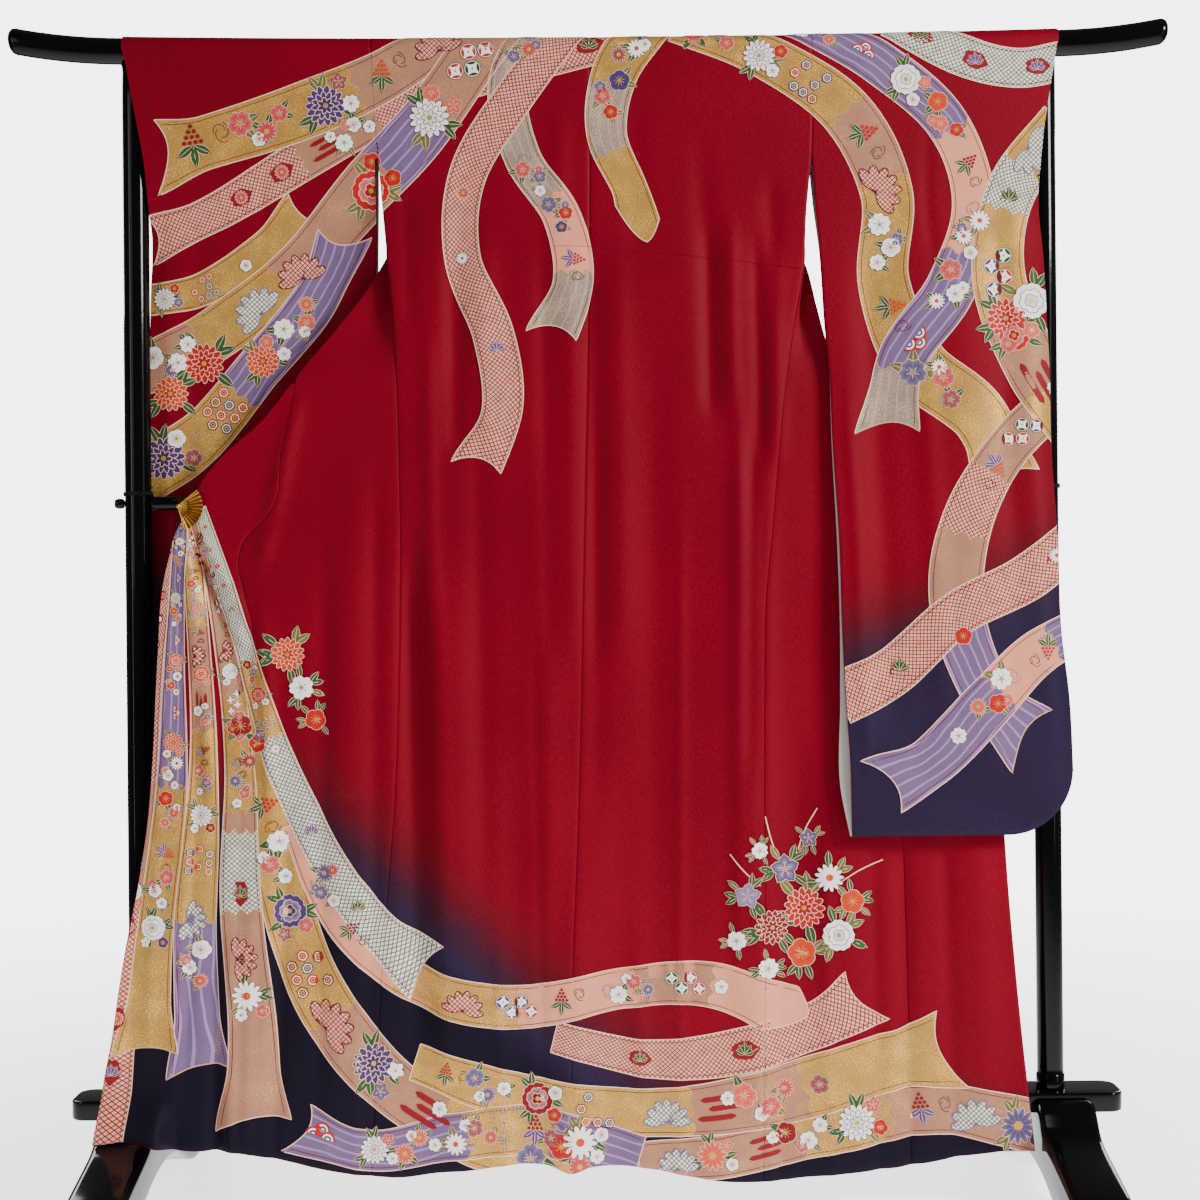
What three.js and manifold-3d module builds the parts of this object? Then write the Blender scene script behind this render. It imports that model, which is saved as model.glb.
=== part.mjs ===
// A furisode kimono spread over the top bar of a lacquered kimono stand, seen from its back.
// Millimetres, +Z up, the floor at z = 0. The back of the garment faces -Y and X runs along the bar.
import * as THREE from "three";
import { mergeVertices } from "three/addons/utils/BufferGeometryUtils.js";
import Module from "manifold-3d";

const wasm = await Module();
wasm.setup();

// ---- Driving dimensions ----
const WALL = 1.8; // lined silk crepe
const GAP = 0.3; // between neighbouring pieces
const BAR = { radius: 19, half: 845, topMiddle: 1693, topAtPosts: 1700, upturn: 13.5, upturnFrom: 690 };
const POST = { x: 662, radius: 19, collarRadius: 20.5, collarHeight: 20, chamfer: 2 };
const RAIL = { half: 761, depth: 76, bottom: 130, top: 158, corner: 22, bevel: 2 };
const FOOT = {
  x: 672, width: 84, reach: 285, rounding: 11, arch: { height: 56, handle: 110 }, pad: 62, spring: 30,
};
const ARM = { z: 1021, radius: 10, pegRadius: 4, pegPast: 12, knobRadius: 7.5, end: 597, chamfer: 2 };
const TIE = { cord: 1.6, halfHeight: 3, lift: 3.8 };
const FAN = { x: -596, z: 1015, radius: 36, hub: 5, from: -74, to: 39, ribs: 10, thickness: 2.4, ridge: 1.4 };
const LEAN = { top: 21.4, hem: 44, length: 1640, power: 1.6 }; // how far the cloth stands out at the hem
// The left hem corner lies over the hump of its foot.
const FOOT_PUSH = { depth: 36, zTop: 185, zLow: 105, xFrom: -600, xTo: -628 };
const CLOTH_RADIUS = BAR.radius + GAP + WALL / 2; // middle of the wall where it turns over the bar

const colours = { red: 0x8e1020, lacquer: 0x0a0a0b, gold: 0xb8923a };
const clothFinish = () => new THREE.MeshStandardMaterial({ color: colours.red, roughness: 0.75 });
const lacquer = () => new THREE.MeshStandardMaterial({ color: colours.lacquer, roughness: 0.12 });
const brass = () => new THREE.MeshStandardMaterial({ color: colours.gold, roughness: 0.35, metalness: 0.9 });

// ---- Outlines of the spread garment, each a table of heights z and places x ----
const neckHalf = 88;
const sideSeamLeft = [
  { z: 1700, x: -316 }, { z: 1526, x: -306 }, { z: 1435, x: -298.5 }, { z: 1361, x: -292 },
  { z: 1268, x: -284 }, { z: 1166, x: -280.5 }, { z: 935, x: -277.5 }, { z: 747, x: -281 },
  { z: 577, x: -288 }, { z: 447, x: -299 }, { z: 262, x: -312 }, { z: 50, x: -323 },
];
const centreSeam = [
  { z: 1700, x: 3 }, { z: 1356, x: -1 }, { z: 875, x: -14 }, { z: 587, x: -22.5 },
  { z: 320, x: -34 }, { z: 50, x: -38 },
];
const sideSeamRight = [
  { z: 1700, x: 325 }, { z: 1516, x: 322 }, { z: 1429, x: 314 }, { z: 1361, x: 310 },
  { z: 1263, x: 293.5 }, { z: 1164, x: 279.5 }, { z: 954, x: 258 }, { z: 880, x: 250 },
  { z: 728, x: 245.5 }, { z: 442, x: 242.5 }, { z: 40, x: 237 },
];
const overlapSeamLeft = [
  { z: 1205, x: -424 }, { z: 1096, x: -447 }, { z: 994, x: -473 }, { z: 973, x: -496 },
  { z: 944, x: -510 }, { z: 889, x: -503 }, { z: 843, x: -491 }, { z: 764, x: -493.5 },
  { z: 643, x: -503.5 }, { z: 479, x: -511 }, { z: 280, x: -520 }, { z: 80, x: -531 },
];
const overlapSeamRight = [
  { z: 1150, x: 392 }, { z: 1050, x: 412 }, { z: 900, x: 430 }, { z: 526, x: 443 },
  { z: 298, x: 447 }, { z: 50, x: 449 },
];
// The collar line down to the clip, then the free edge of the overlap panel.
const outerEdgeLeft = [
  { z: 1700, x: -neckHalf }, { z: 1600, x: -155 }, { z: 1500, x: -229 }, { z: 1430, x: -272 },
  { z: 1361, x: -305 }, { z: 1345, x: -314 }, { z: 1275, x: -365 }, { z: 1212, x: -417 },
  { z: 1134, x: -479 }, { z: 1089, x: -530 }, { z: 1050, x: -563 }, { z: 1014, x: -579 },
  { z: 980, x: -599 }, { z: 942, x: -610 }, { z: 907, x: -618 }, { z: 796, x: -627 },
  { z: 647, x: -635.5 }, { z: 553, x: -643.5 }, { z: 481, x: -655 }, { z: 408, x: -668.5 },
  { z: 327, x: -682 }, { z: 247, x: -693.5 }, { z: 192, x: -704 }, { z: 112, x: -711 },
];
const outerEdgeRight = [
  { z: 1700, x: neckHalf + 6 }, { z: 1600, x: 165 }, { z: 1500, x: 236 }, { z: 1430, x: 283 },
  { z: 1356, x: 316 }, { z: 1295, x: 330 }, { z: 1230, x: 348 }, { z: 1180, x: 376 },
  { z: 1134, x: 412 }, { z: 1089, x: 462 }, { z: 1050, x: 518 }, { z: 1014, x: 566 },
  { z: 942, x: 575 }, { z: 858, x: 579 }, { z: 700, x: 583 }, { z: 532, x: 588 },
  { z: 296, x: 604 }, { z: 84, x: 624 },
];
const hemHeight = [
  { x: -719, z: 112 }, { x: -644, z: 112 }, { x: -599, z: 95.5 }, { x: -531, z: 93 },
  { x: -463, z: 81 }, { x: -394, z: 66.5 }, { x: -326, z: 57 }, { x: -281, z: 54 },
  { x: -227, z: 60.5 }, { x: -168, z: 65.5 }, { x: -100, z: 70.5 }, { x: -68, z: 68 },
  { x: -38, z: 58 }, { x: -9, z: 65.5 }, { x: 36, z: 67 }, { x: 82, z: 62.5 },
  { x: 128, z: 53 }, { x: 173, z: 47 }, { x: 237, z: 43.5 }, { x: 289, z: 47.5 },
  { x: 360, z: 55.5 }, { x: 449, z: 64.5 }, { x: 517, z: 76.5 }, { x: 574, z: 84.5 }, { x: 624, z: 83.5 },
];

// Soft folds that run down the cloth: a line from (x1, z1) to (x2, z2), half width and depth.
// A positive depth is a trough, away from the viewer of the back.
const folds = [
  { x1: -262, z1: 1000, x2: -246, z2: 330, width: 17, depth: 10 },
  { x1: -205, z1: 1000, x2: -190, z2: 120, width: 28, depth: -8 },
  { x1: -120, z1: 700, x2: -98, z2: 40, width: 30, depth: 6 },
  { x1: -25, z1: 520, x2: -38, z2: 40, width: 20, depth: -5 },
  { x1: 45, z1: 700, x2: 30, z2: 40, width: 30, depth: 5 },
  { x1: 190, z1: 1150, x2: 178, z2: 40, width: 34, depth: -9 },
  { x1: 290, z1: 760, x2: 292, z2: 40, width: 24, depth: 5 },
  { x1: 352, z1: 700, x2: 366, z2: 40, width: 30, depth: -5 },
  { x1: 440, z1: 600, x2: 449, z2: 40, width: 14, depth: 6 },
  { x1: 545, z1: 620, x2: 560, z2: 60, width: 26, depth: -6 },
  { x1: -582, z1: 1010, x2: -514, z2: 760, width: 11, depth: 10 },
  { x1: -592, z1: 1000, x2: -548, z2: 620, width: 12, depth: -8 },
  { x1: -418, z1: 1190, x2: -470, z2: 960, width: 14, depth: -6 },
  { x1: -345, z1: 1120, x2: -360, z2: 200, width: 26, depth: -6 },
  { x1: -540, z1: 420, x2: -546, z2: 90, width: 11, depth: 7 },
  { x1: -520, z1: 420, x2: -524, z2: 90, width: 11, depth: -6 },
  { x1: -615, z1: 820, x2: -660, z2: 100, width: 20, depth: 6 },
  { x1: -430, z1: 700, x2: -440, z2: 70, width: 28, depth: 5 },
];

// ---- Helpers ----
const lerp = (a, b, t) => a + (b - a) * t;
const clamp01 = (t) => Math.min(1, Math.max(0, t));
const smooth = (from, to, v) => {
  const t = clamp01((v - from) / (to - from));
  return t * t * (3 - 2 * t);
};
const radians = (degrees) => (degrees * Math.PI) / 180;

// Reads a table by straight lines between its rows, whichever way its key runs.
function read(table, key, name, at) {
  const rising = table[table.length - 1][key] > table[0][key];
  const rows = rising ? table : [...table].reverse();
  if (at <= rows[0][key]) return rows[0][name];
  const next = rows.findIndex((row) => row[key] >= at);
  if (next < 0) return rows[rows.length - 1][name];
  const [a, b] = [rows[next - 1], rows[next]];
  return lerp(a[name], b[name], (at - a[key]) / (b[key] - a[key]));
}

// Top of the bar: a slight bow between the posts and upturned ends.
function barTop(x) {
  const bow = (BAR.topAtPosts - BAR.topMiddle) * (x / POST.x) ** 2;
  const past = clamp01((Math.abs(x) - BAR.upturnFrom) / (BAR.half - BAR.upturnFrom));
  return BAR.topMiddle + bow + BAR.upturn * past ** 2;
}
const barAxis = (x) => barTop(x) - BAR.radius;

// Depth of the cloth that hangs down the near side: it leans out towards the hem and carries the folds.
function foldSum(x, z) {
  let sum = 0;
  for (const f of folds) {
    const along = (f.z1 - z) / (f.z1 - f.z2);
    const fade = smooth(-0.02, 0.3, along) * (1 - smooth(1.0, 1.25, along));
    const off = (x - lerp(f.x1, f.x2, along)) / f.width;
    sum += f.depth * fade * Math.exp(-off * off);
  }
  return sum;
}
function nearDepth(x, z) {
  const drop = Math.max(0, BAR.topMiddle - z);
  const low = smooth(FOOT_PUSH.zTop, FOOT_PUSH.zLow, z) * smooth(FOOT_PUSH.xFrom, FOOT_PUSH.xTo, x);
  return foldSum(x, z) - LEAN.top - LEAN.hem * (drop / LEAN.length) ** LEAN.power - FOOT_PUSH.depth * low;
}

// A point of the near side with the normal of that surface: walls that meet at a seam have parallel rims.
function nearPoint(x, z) {
  const point = new THREE.Vector3(x, nearDepth(x, z), z);
  const step = 1;
  const slopeX = (nearDepth(x + step, z) - nearDepth(x - step, z)) / (2 * step);
  const slopeZ = (nearDepth(x, z + step) - nearDepth(x, z - step)) / (2 * step);
  point.normal = new THREE.Vector3(-slopeX, 1, -slopeZ).normalize();
  return point;
}

// ---- Walls of cloth ----
// grid[row][column] holds the middle of the wall; the two faces lie half a wall to each side of it.
function wallGeometry(grid, thickness = WALL) {
  const rows = grid.length;
  const columns = grid[0].length;
  const at = (r, c) => grid[Math.min(rows - 1, Math.max(0, r))][Math.min(columns - 1, Math.max(0, c))];
  const normals = grid.map((row, r) => row.map((point, c) => {
    const across = at(r, c + 1).clone().sub(at(r, c - 1));
    const normal = across.cross(at(r + 1, c).clone().sub(at(r - 1, c))).normalize();
    if (!point.normal) return normal;
    return point.normal.clone().multiplyScalar(Math.sign(normal.dot(point.normal)) || 1);
  }));
  const vertices = [];
  for (const side of [-0.5, 0.5]) {
    for (let r = 0; r < rows; r++) {
      for (let c = 0; c < columns; c++) {
        vertices.push(at(r, c).clone().addScaledVector(normals[r][c], side * thickness));
      }
    }
  }
  const index = [];
  const layer = rows * columns;
  const id = (side, r, c) => side * layer + r * columns + c;
  const quad = (a, b, c, d) => index.push(a, b, c, a, c, d);
  for (let r = 0; r < rows - 1; r++) {
    for (let c = 0; c < columns - 1; c++) {
      quad(id(1, r, c), id(1, r, c + 1), id(1, r + 1, c + 1), id(1, r + 1, c));
      quad(id(0, r, c), id(0, r + 1, c), id(0, r + 1, c + 1), id(0, r, c + 1));
    }
  }
  for (let c = 0; c < columns - 1; c++) {
    quad(id(0, 0, c), id(0, 0, c + 1), id(1, 0, c + 1), id(1, 0, c));
    quad(id(1, rows - 1, c), id(1, rows - 1, c + 1), id(0, rows - 1, c + 1), id(0, rows - 1, c));
  }
  for (let r = 0; r < rows - 1; r++) {
    quad(id(1, r, 0), id(1, r + 1, 0), id(0, r + 1, 0), id(0, r, 0));
    quad(id(0, r, columns - 1), id(0, r + 1, columns - 1), id(1, r + 1, columns - 1), id(1, r, columns - 1));
  }
  const geometry = new THREE.BufferGeometry();
  geometry.setAttribute("position", positions(vertices));
  geometry.setIndex(outward(index, vertices));
  return geometry;
}

const positions = (vertices) => new THREE.Float32BufferAttribute(vertices.flatMap((v) => v.toArray()), 3);

// Turns every triangle round when the closed surface has come out inside out.
function outward(index, vertices) {
  let volume = 0;
  for (let i = 0; i < index.length; i += 3) {
    const [a, b, c] = [vertices[index[i]], vertices[index[i + 1]], vertices[index[i + 2]]];
    volume += a.dot(b.clone().cross(c));
  }
  if (volume > 0) return index;
  const turned = [];
  for (let i = 0; i < index.length; i += 3) turned.push(index[i], index[i + 2], index[i + 1]);
  return turned;
}

// Where a wall turns over the bar: 0 at the top of the bar, 1 where it hangs straight down.
const overBar = [0, 0.25, 0.5, 0.75];
function onBar(x, turn, side, proud = 0) {
  const start = GAP / 2 / CLOTH_RADIUS;
  const angle = lerp(Math.PI / 2 - start, 0, turn);
  const normal = new THREE.Vector3(0, side * Math.cos(angle), Math.sin(angle));
  const point = new THREE.Vector3(x, 0, barAxis(x)).addScaledVector(normal, CLOTH_RADIUS + proud);
  point.normal = normal;
  return point;
}

// Heights of the rows of the body; below lastLevel they follow the hem.
const levels = [1674, 1620, 1570, 1526, 1480, 1430, 1395, 1361, 1330, 1295, 1250, 1205, 1160, 1110, 1060,
  1014, 980, 944, 900, 850, 780, 700, 600, 500, 400, 300];
const lastLevel = levels[levels.length - 1];
const hemSteps = [0.35, 0.7, 1];
const hemGuess = 60; // a first height of the hem, before the place along it is known
const rowHeights = (x) => [
  ...levels.map((z) => (z === levels[0] ? barAxis(x) : z)),
  ...hemSteps.map((step) => lerp(lastLevel, read(hemHeight, "x", "z", x), step)),
];
const bodyRowCount = levels.length + hemSteps.length;

// x at each row from the left and right outlines, then z from the row: two passes settle the hem rows.
function rowPoint(row, xAt) {
  let z = row < levels.length ? levels[row] : lerp(lastLevel, hemGuess, hemSteps[row - levels.length]);
  let x = xAt(z);
  z = rowHeights(x)[row];
  x = xAt(z);
  return { x, z: rowHeights(x)[row] };
}

// ---- Back panels ----
function backGrid(inner, outer, columns) {
  const grid = [];
  for (const turn of overBar) {
    const z = BAR.topMiddle;
    grid.push(columns.map((c) => onBar(lerp(inner(z), outer(z), c), turn, -1)));
  }
  for (let row = 0; row < bodyRowCount; row++) {
    grid.push(columns.map((c) => {
      const { x, z } = rowPoint(row, (at) => lerp(inner(at), outer(at), c));
      return row === 0 ? onBar(x, 1, -1) : nearPoint(x, z);
    }));
  }
  return grid;
}
const evenly = (count) => Array.from({ length: count + 1 }, (_, i) => i / count);
const sideLeft = (z) => read(sideSeamLeft, "z", "x", z);
const sideRight = (z) => read(sideSeamRight, "z", "x", z);
const centre = (z) => read(centreSeam, "z", "x", z);
const halfGap = GAP / 2;

// ---- Front panels ----
// Each front hangs behind the bar from the shoulder. At the armpit it turns round its side seam, so that
// below it lies beside the back with its outer face to the viewer. A section runs from the side edge to the
// collar line as a Bezier curve, whose handles are given in this table (see frontPoint).
const turnOut = [
  { z: 1700, edgeY: 21.4, collarY: 21.4, leave: 0, leaveBy: 70, arriveBy: -70, bulge: 0 },
  { z: 1620, edgeY: 21.4, collarY: 24, leave: 0, leaveBy: 95, arriveBy: 0, bulge: 5 },
  { z: 1570, edgeY: 21.4, collarY: 28, leave: 0, leaveBy: 110, arriveBy: 60, bulge: 9 },
  { z: 1526, edgeY: 20, collarY: 31, leave: 4, leaveBy: 115, arriveBy: 100, bulge: 12 },
  { z: 1480, edgeY: 12, collarY: 32, leave: 16, leaveBy: 105, arriveBy: 120, bulge: 15 },
  { z: 1430, edgeY: 0, collarY: 24, leave: 42, leaveBy: 90, arriveBy: 120, bulge: 17 },
  { z: 1395, edgeY: -10, collarY: 11, leave: 68, leaveBy: 72, arriveBy: 112, bulge: 18 },
  { z: 1361, edgeY: -22, collarY: -3, leave: 92, leaveBy: 50, arriveBy: 96, bulge: 14 },
  { z: 1330, edgeY: -22, collarY: -9, leave: 105, leaveBy: 34, arriveBy: 74, bulge: 10 },
  { z: 1295, edgeY: -23, collarY: -14, leave: 125, leaveBy: 26, arriveBy: 50, bulge: 6 },
  { z: 1250, edgeY: -24, collarY: -19, leave: 150, leaveBy: 30, arriveBy: 34, bulge: 2 },
  { z: 1205, edgeY: -26, collarY: -24, leave: 172, leaveBy: 40, arriveBy: 30, bulge: 0 },
  { z: 1160, edgeY: -28, collarY: -28, leave: 180, leaveBy: 60, arriveBy: 60, bulge: 0 },
];
const flatBelow = 1160;
const flatAbove = 1275; // between the two heights the turned section eases into the flat one

function bezier(p0, p1, p2, p3, t) {
  const u = 1 - t;
  return u * u * u * p0 + 3 * u * u * t * p1 + 3 * u * t * t * p2 + t * t * t * p3;
}

// side is -1 for the left front and 1 for the right one; the table above is for the left and is mirrored.
function turnedPoint(side, z, c, edgeX, collarX) {
  const row = (name) => read(turnOut, "z", name, z);
  const leave = radians(row("leave"));
  const shy = (halfGap + WALL / 2) * Math.abs(Math.sin(leave)) * smooth(1440, 1361, z);
  const startX = edgeX + side * shy;
  const x = bezier(startX, startX - side * row("leaveBy") * Math.cos(leave),
    collarX - side * row("arriveBy"), collarX, c);
  const y = bezier(row("edgeY"), row("edgeY") + row("leaveBy") * Math.sin(leave),
    row("collarY") + row("bulge"), row("collarY"), c);
  return new THREE.Vector3(x, y, z);
}

function frontPoint(side, row, c, edge, collarLine, innerLimit) {
  const flat = rowPoint(row, (z) => lerp(edge(z), innerLimit(z), c));
  const z = flat.z;
  const flatPoint = nearPoint(flat.x, z);
  if (z <= flatBelow) return flatPoint;
  const turned = turnedPoint(side, z, c, edge(z), collarLine(z));
  return turned.lerp(flatPoint, smooth(flatAbove, flatBelow, z));
}

function frontGrid(side, edge, collarLine, innerLimit, columns) {
  const grid = [];
  for (const turn of overBar) {
    const z = BAR.topMiddle;
    grid.push(columns.map((c) => onBar(lerp(edge(z), collarLine(z), c), turn, 1)));
  }
  for (let row = 0; row < bodyRowCount; row++) {
    grid.push(columns.map((c) => {
      if (row > 0) return frontPoint(side, row, c, edge, collarLine, innerLimit);
      return onBar(lerp(edge(levels[0]), collarLine(levels[0]), c), 1, 1);
    }));
  }
  return grid;
}

// ---- Overlap panels ----
const overlapTop = { left: 1205, right: 1160 };
function overlapGrid(seam, edge, top, columns) {
  const grid = [];
  for (let row = 0; row < bodyRowCount; row++) {
    if (row < levels.length && levels[row] > top) continue;
    grid.push(columns.map((c) => {
      const { x, z } = rowPoint(row, (at) => lerp(seam(at), edge(at), c));
      return nearPoint(x, z);
    }));
  }
  return grid;
}

// ---- Collar ----
// Each half starts at the centre back, on the far side of the bar, and runs down the front to the clip.
// It is folded over behind the edge of the front, so it lies behind the collar line.
const collarWidth = 54;
const collarBehind = [
  { z: 1640, by: 2 }, { z: 1590, by: 7 }, { z: 1500, by: 10 }, { z: 1430, by: 16 }, { z: 1395, by: 15 },
  { z: 1340, by: 8 }, { z: 1230, by: 4 },
];
const collarBend = (Math.PI / 2) * CLOTH_RADIUS;
const collarColumns = [...[...overBar, 1].map((turn) => (turn * collarBend) / collarWidth), 0.8, 1];
const collarProud = 0.7; // the folded collar stands a little proud of the neck of the back
const neckShares = [0, 0.33, 0.66, 0.9];
const neckTurns = [0.1, 0.25, 0.45, 0.7, 0.9];
const collarSlope = (side, line, z) => Math.atan2(20, side * (line(z - 20) - line(z)));
function collarGrid(side, collarLine, lowest, columns) {
  const over = (x, length) => {
    if (length <= collarBend + 0.01) return onBar(x, length / collarBend, 1, collarProud);
    return new THREE.Vector3(x, CLOTH_RADIUS + collarProud, barAxis(x) - (length - collarBend));
  };
  const grid = neckShares.map((share) => {
    const x = lerp(centre(BAR.topMiddle) + side * halfGap, side * neckHalf, share);
    return columns.map((c) => over(lerp(x, x * 0.82, c * share), c * collarWidth));
  });
  for (const turn of neckTurns) {
    const arc = (1 - turn) * collarBend;
    const sweep = collarSlope(side, collarLine, 1640) * turn;
    grid.push(columns.map((c, i) => {
      const last = overBar.length;
      const past = (i - last) / (columns.length - 1 - last);
      const length = i <= last ? (arc * i) / last : lerp(arc, collarWidth, past);
      const x = side * (neckHalf + 2 * turn - Math.sin(sweep) * length);
      return length <= arc + 0.01
        ? onBar(x, turn + length / collarBend, 1, collarProud)
        : new THREE.Vector3(x, CLOTH_RADIUS + collarProud, barAxis(x) - Math.cos(sweep) * (length - arc));
    }));
  }
  for (const z of [1640, 1605, ...levels.filter((level) => level < 1600 && level >= lowest)]) {
    const slope = collarSlope(side, collarLine, z);
    grid.push(columns.map((c) => {
      const lineX = collarLine(z);
      const x = lineX - side * Math.sin(slope) * collarWidth * c;
      const pointZ = z - Math.cos(slope) * collarWidth * c;
      const y = behindFront(side, collarLine, x, pointZ) + read(collarBehind, "z", "by", z);
      return new THREE.Vector3(x, y, pointZ);
    }));
  }
  return grid;
}
// Depth of the front's rearmost layer at a place near the collar line, found along its section.
function behindFront(side, collarLine, x, z) {
  const edgeX = side < 0 ? sideLeft(z) : sideRight(z);
  const inFrom = side * (collarLine(z) - x);
  let turned = read(turnOut, "z", "collarY", z);
  for (let c = 1; c > 0.3; c -= 0.01) {
    const point = turnedPoint(side, z, c, edgeX, collarLine(z));
    turned = Math.max(turned, point.y);
    if (side * (collarLine(z) - point.x) >= inFrom) break;
  }
  return lerp(turned, nearDepth(x, z), smooth(flatAbove, flatBelow, z));
}

// ---- Sleeves ----
// inner is the edge towards the body, outer the wrist edge and the sewn edge below it, y the depth.
const sleeveLeft = {
  side: -1,
  near: [
    { z: 1700, inner: -316, outer: -678, y: -21.4 }, { z: 1561, inner: -312, outer: -653, y: -22 },
    { z: 1516, inner: -310, outer: -645, y: -22 }, { z: 1460, inner: -310, outer: -639, y: -11 },
    { z: 1400, inner: -311, outer: -640, y: 4 }, { z: 1345, inner: -313, outer: -643, y: 11 },
    { z: 1250, inner: -313, outer: -644.5, y: 13 }, { z: 1100, inner: -316, outer: -644.5, y: 13.5 },
    { z: 900, inner: -322, outer: -644.5, y: 13.5 }, { z: 535, inner: -330, outer: -644.5, y: 13 },
  ],
  far: [
    { z: 1700, inner: -316, outer: -678, y: 21.4 }, { z: 1561, inner: -312, outer: -653, y: 22 },
    { z: 1516, inner: -310, outer: -646, y: 22 }, { z: 1460, inner: -310, outer: -642, y: 22 },
    { z: 1400, inner: -311, outer: -642, y: 22 }, { z: 1345, inner: -312, outer: -643, y: 22 },
    { z: 1250, inner: -314, outer: -644.5, y: 21.8 }, { z: 1100, inner: -316, outer: -644.5, y: 21.5 },
    { z: 900, inner: -322, outer: -644.5, y: 21.5 }, { z: 535, inner: -330, outer: -644.5, y: 20.5 },
  ],
};
const sleeveRight = {
  side: 1,
  near: [
    { z: 1700, inner: 325, outer: 684, y: -21.4 }, { z: 1516, inner: 323.5, outer: 656, y: -22 },
    { z: 1451, inner: 327, outer: 650, y: -26 }, { z: 1377, inner: 333, outer: 655, y: -29 },
    { z: 1268, inner: 339, outer: 659, y: -36 }, { z: 1205, inner: 344, outer: 661, y: -40 },
    { z: 1105, inner: 347, outer: 661, y: -44 }, { z: 949, inner: 355, outer: 668, y: -53 },
    { z: 828, inner: 357, outer: 670, y: -60 }, { z: 728, inner: 361, outer: 680, y: -64 },
    { z: 633, inner: 366, outer: 683, y: -69 }, { z: 535, inner: 367, outer: 683, y: -74 },
  ],
  far: [
    { z: 1700, inner: 325, outer: 684, y: 21.4 }, { z: 1580, inner: 324, outer: 634, y: 21.4 },
    { z: 1516, inner: 323.5, outer: 632, y: 16 },
    { z: 1451, inner: 327, outer: 630, y: 2 }, { z: 1377, inner: 333, outer: 650, y: -21.5 },
    { z: 1268, inner: 339, outer: 659, y: -29 }, { z: 1205, inner: 344, outer: 661, y: -33 },
    { z: 1105, inner: 346, outer: 661, y: -37 }, { z: 949, inner: 352, outer: 668, y: -46 },
    { z: 828, inner: 354, outer: 670, y: -53 }, { z: 728, inner: 353, outer: 680, y: -57 },
    { z: 600, inner: 352, outer: 683, y: -62 }, { z: 535, inner: 364, outer: 683, y: -67 },
  ],
};
const sleeveFolds = [
  { across: 0.3, width: 0.1, depth: 2.5, z1: 1500, z2: 560 },
  { across: 0.62, width: 0.12, depth: -3, z1: 1450, z2: 560 },
];
const sleeveRows = [1674, 1620, 1570, 1516, 1480, 1440, 1400, 1350, 1295, 1220, 1120, 1020, 900, 790, 690];
const sleeveBottom = 535;
const aboveBottom = { height: 82, ofRise: 0.5 }; // the last row but one, over the rounded corner
const shoulder = 1700;
const seamEnd = 1516; // below it the sleeve and the body are open to each other
const cuffEnd = { open: 1460, sewn: 1360 }; // the wrist edge is open above, sewn below
const cornerRadius = 95;
const cornerSteps = [0, 22.5, 45, 67.5, 90];
const sleeveShares = [0, 0.18, 0.36, 0.54];

// A column lies at a share of the width, or at an angle of the rounded corner.
const sleeveColumns = [
  ...sleeveShares.map((share) => ({ share })), ...cornerSteps.map((angle) => ({ angle })),
];
function columnX(column, table, side, z) {
  const seam = side < 0 ? sideLeft(z) - halfGap : sideRight(z) + halfGap;
  const inner = z >= seamEnd ? seam : read(table, "z", "inner", z);
  const outer = read(table, "z", "outer", z);
  if (column.share !== undefined) return lerp(inner, outer, column.share);
  return outer - side * cornerRadius * (1 - Math.sin(radians(column.angle)));
}

// layer is "near" or "far"; puff is how far the middle of the wall stands away from the other half of the
// bag, which it meets at the sewn edge and at the bottom.
function sleeveGrid(sleeve, layer, puff) {
  const table = sleeve[layer];
  const away = layer === "near" ? -1 : 1;
  const at = (name, z) => read(table, "z", name, z);
  const grid = overBar.map((turn) => sleeveColumns.map((column) => (
    onBar(columnX(column, table, sleeve.side, BAR.topMiddle), turn, away))));
  for (const row of [...sleeveRows, "above", "bottom"]) {
    grid.push(sleeveColumns.map((column) => {
      const rise = column.angle === undefined ? 0 : cornerRadius * (1 - Math.cos(radians(column.angle)));
      let z = row;
      if (row === "above") z = sleeveBottom + aboveBottom.height + aboveBottom.ofRise * rise;
      if (row === "bottom") z = sleeveBottom + rise;
      const x = columnX(column, table, sleeve.side, z);
      if (row === sleeveRows[0]) return onBar(x, 1, away);
      const share = (x - at("inner", z)) / (at("outer", z) - at("inner", z));
      let y = at("y", z);
      for (const f of sleeveFolds) {
        const fade = smooth(f.z1, f.z1 - 200, z) * smooth(f.z2, f.z2 + 120, z);
        y += f.depth * fade * Math.exp(-(((share - f.across) / f.width) ** 2));
      }
      const puffed = smooth(1500, 1250, z) * smooth(sleeveBottom, sleeveBottom + 250, z);
      y += puff * puffed * 4 * share * (1 - share);
      const middle = (read(sleeve.near, "z", "y", z) + read(sleeve.far, "z", "y", z)) / 2;
      const sewnSide = smooth(0.86, 1, share) * smooth(cuffEnd.open, cuffEnd.sewn, z);
      const sewn = row === "bottom" ? 1 : sewnSide;
      return new THREE.Vector3(x, lerp(y, middle + (away * (WALL + GAP)) / 2, sewn), z);
    }));
  }
  return grid;
}

// ---- Stand ----
function toSolid(geometry) {
  const bare = new THREE.BufferGeometry();
  bare.setAttribute("position", geometry.getAttribute("position").clone());
  if (geometry.index) bare.setIndex(geometry.index.clone());
  const merged = mergeVertices(bare, 1e-4);
  return new wasm.Manifold(new wasm.Mesh({
    numProp: 3,
    vertProperties: new Float32Array(merged.getAttribute("position").array),
    triVerts: new Uint32Array(merged.index.array),
  }));
}
function fromSolid(solid) {
  const mesh = solid.getMesh();
  const geometry = new THREE.BufferGeometry();
  geometry.setAttribute("position", new THREE.Float32BufferAttribute(mesh.vertProperties, 3));
  geometry.setIndex(Array.from(mesh.triVerts));
  return geometry;
}

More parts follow.
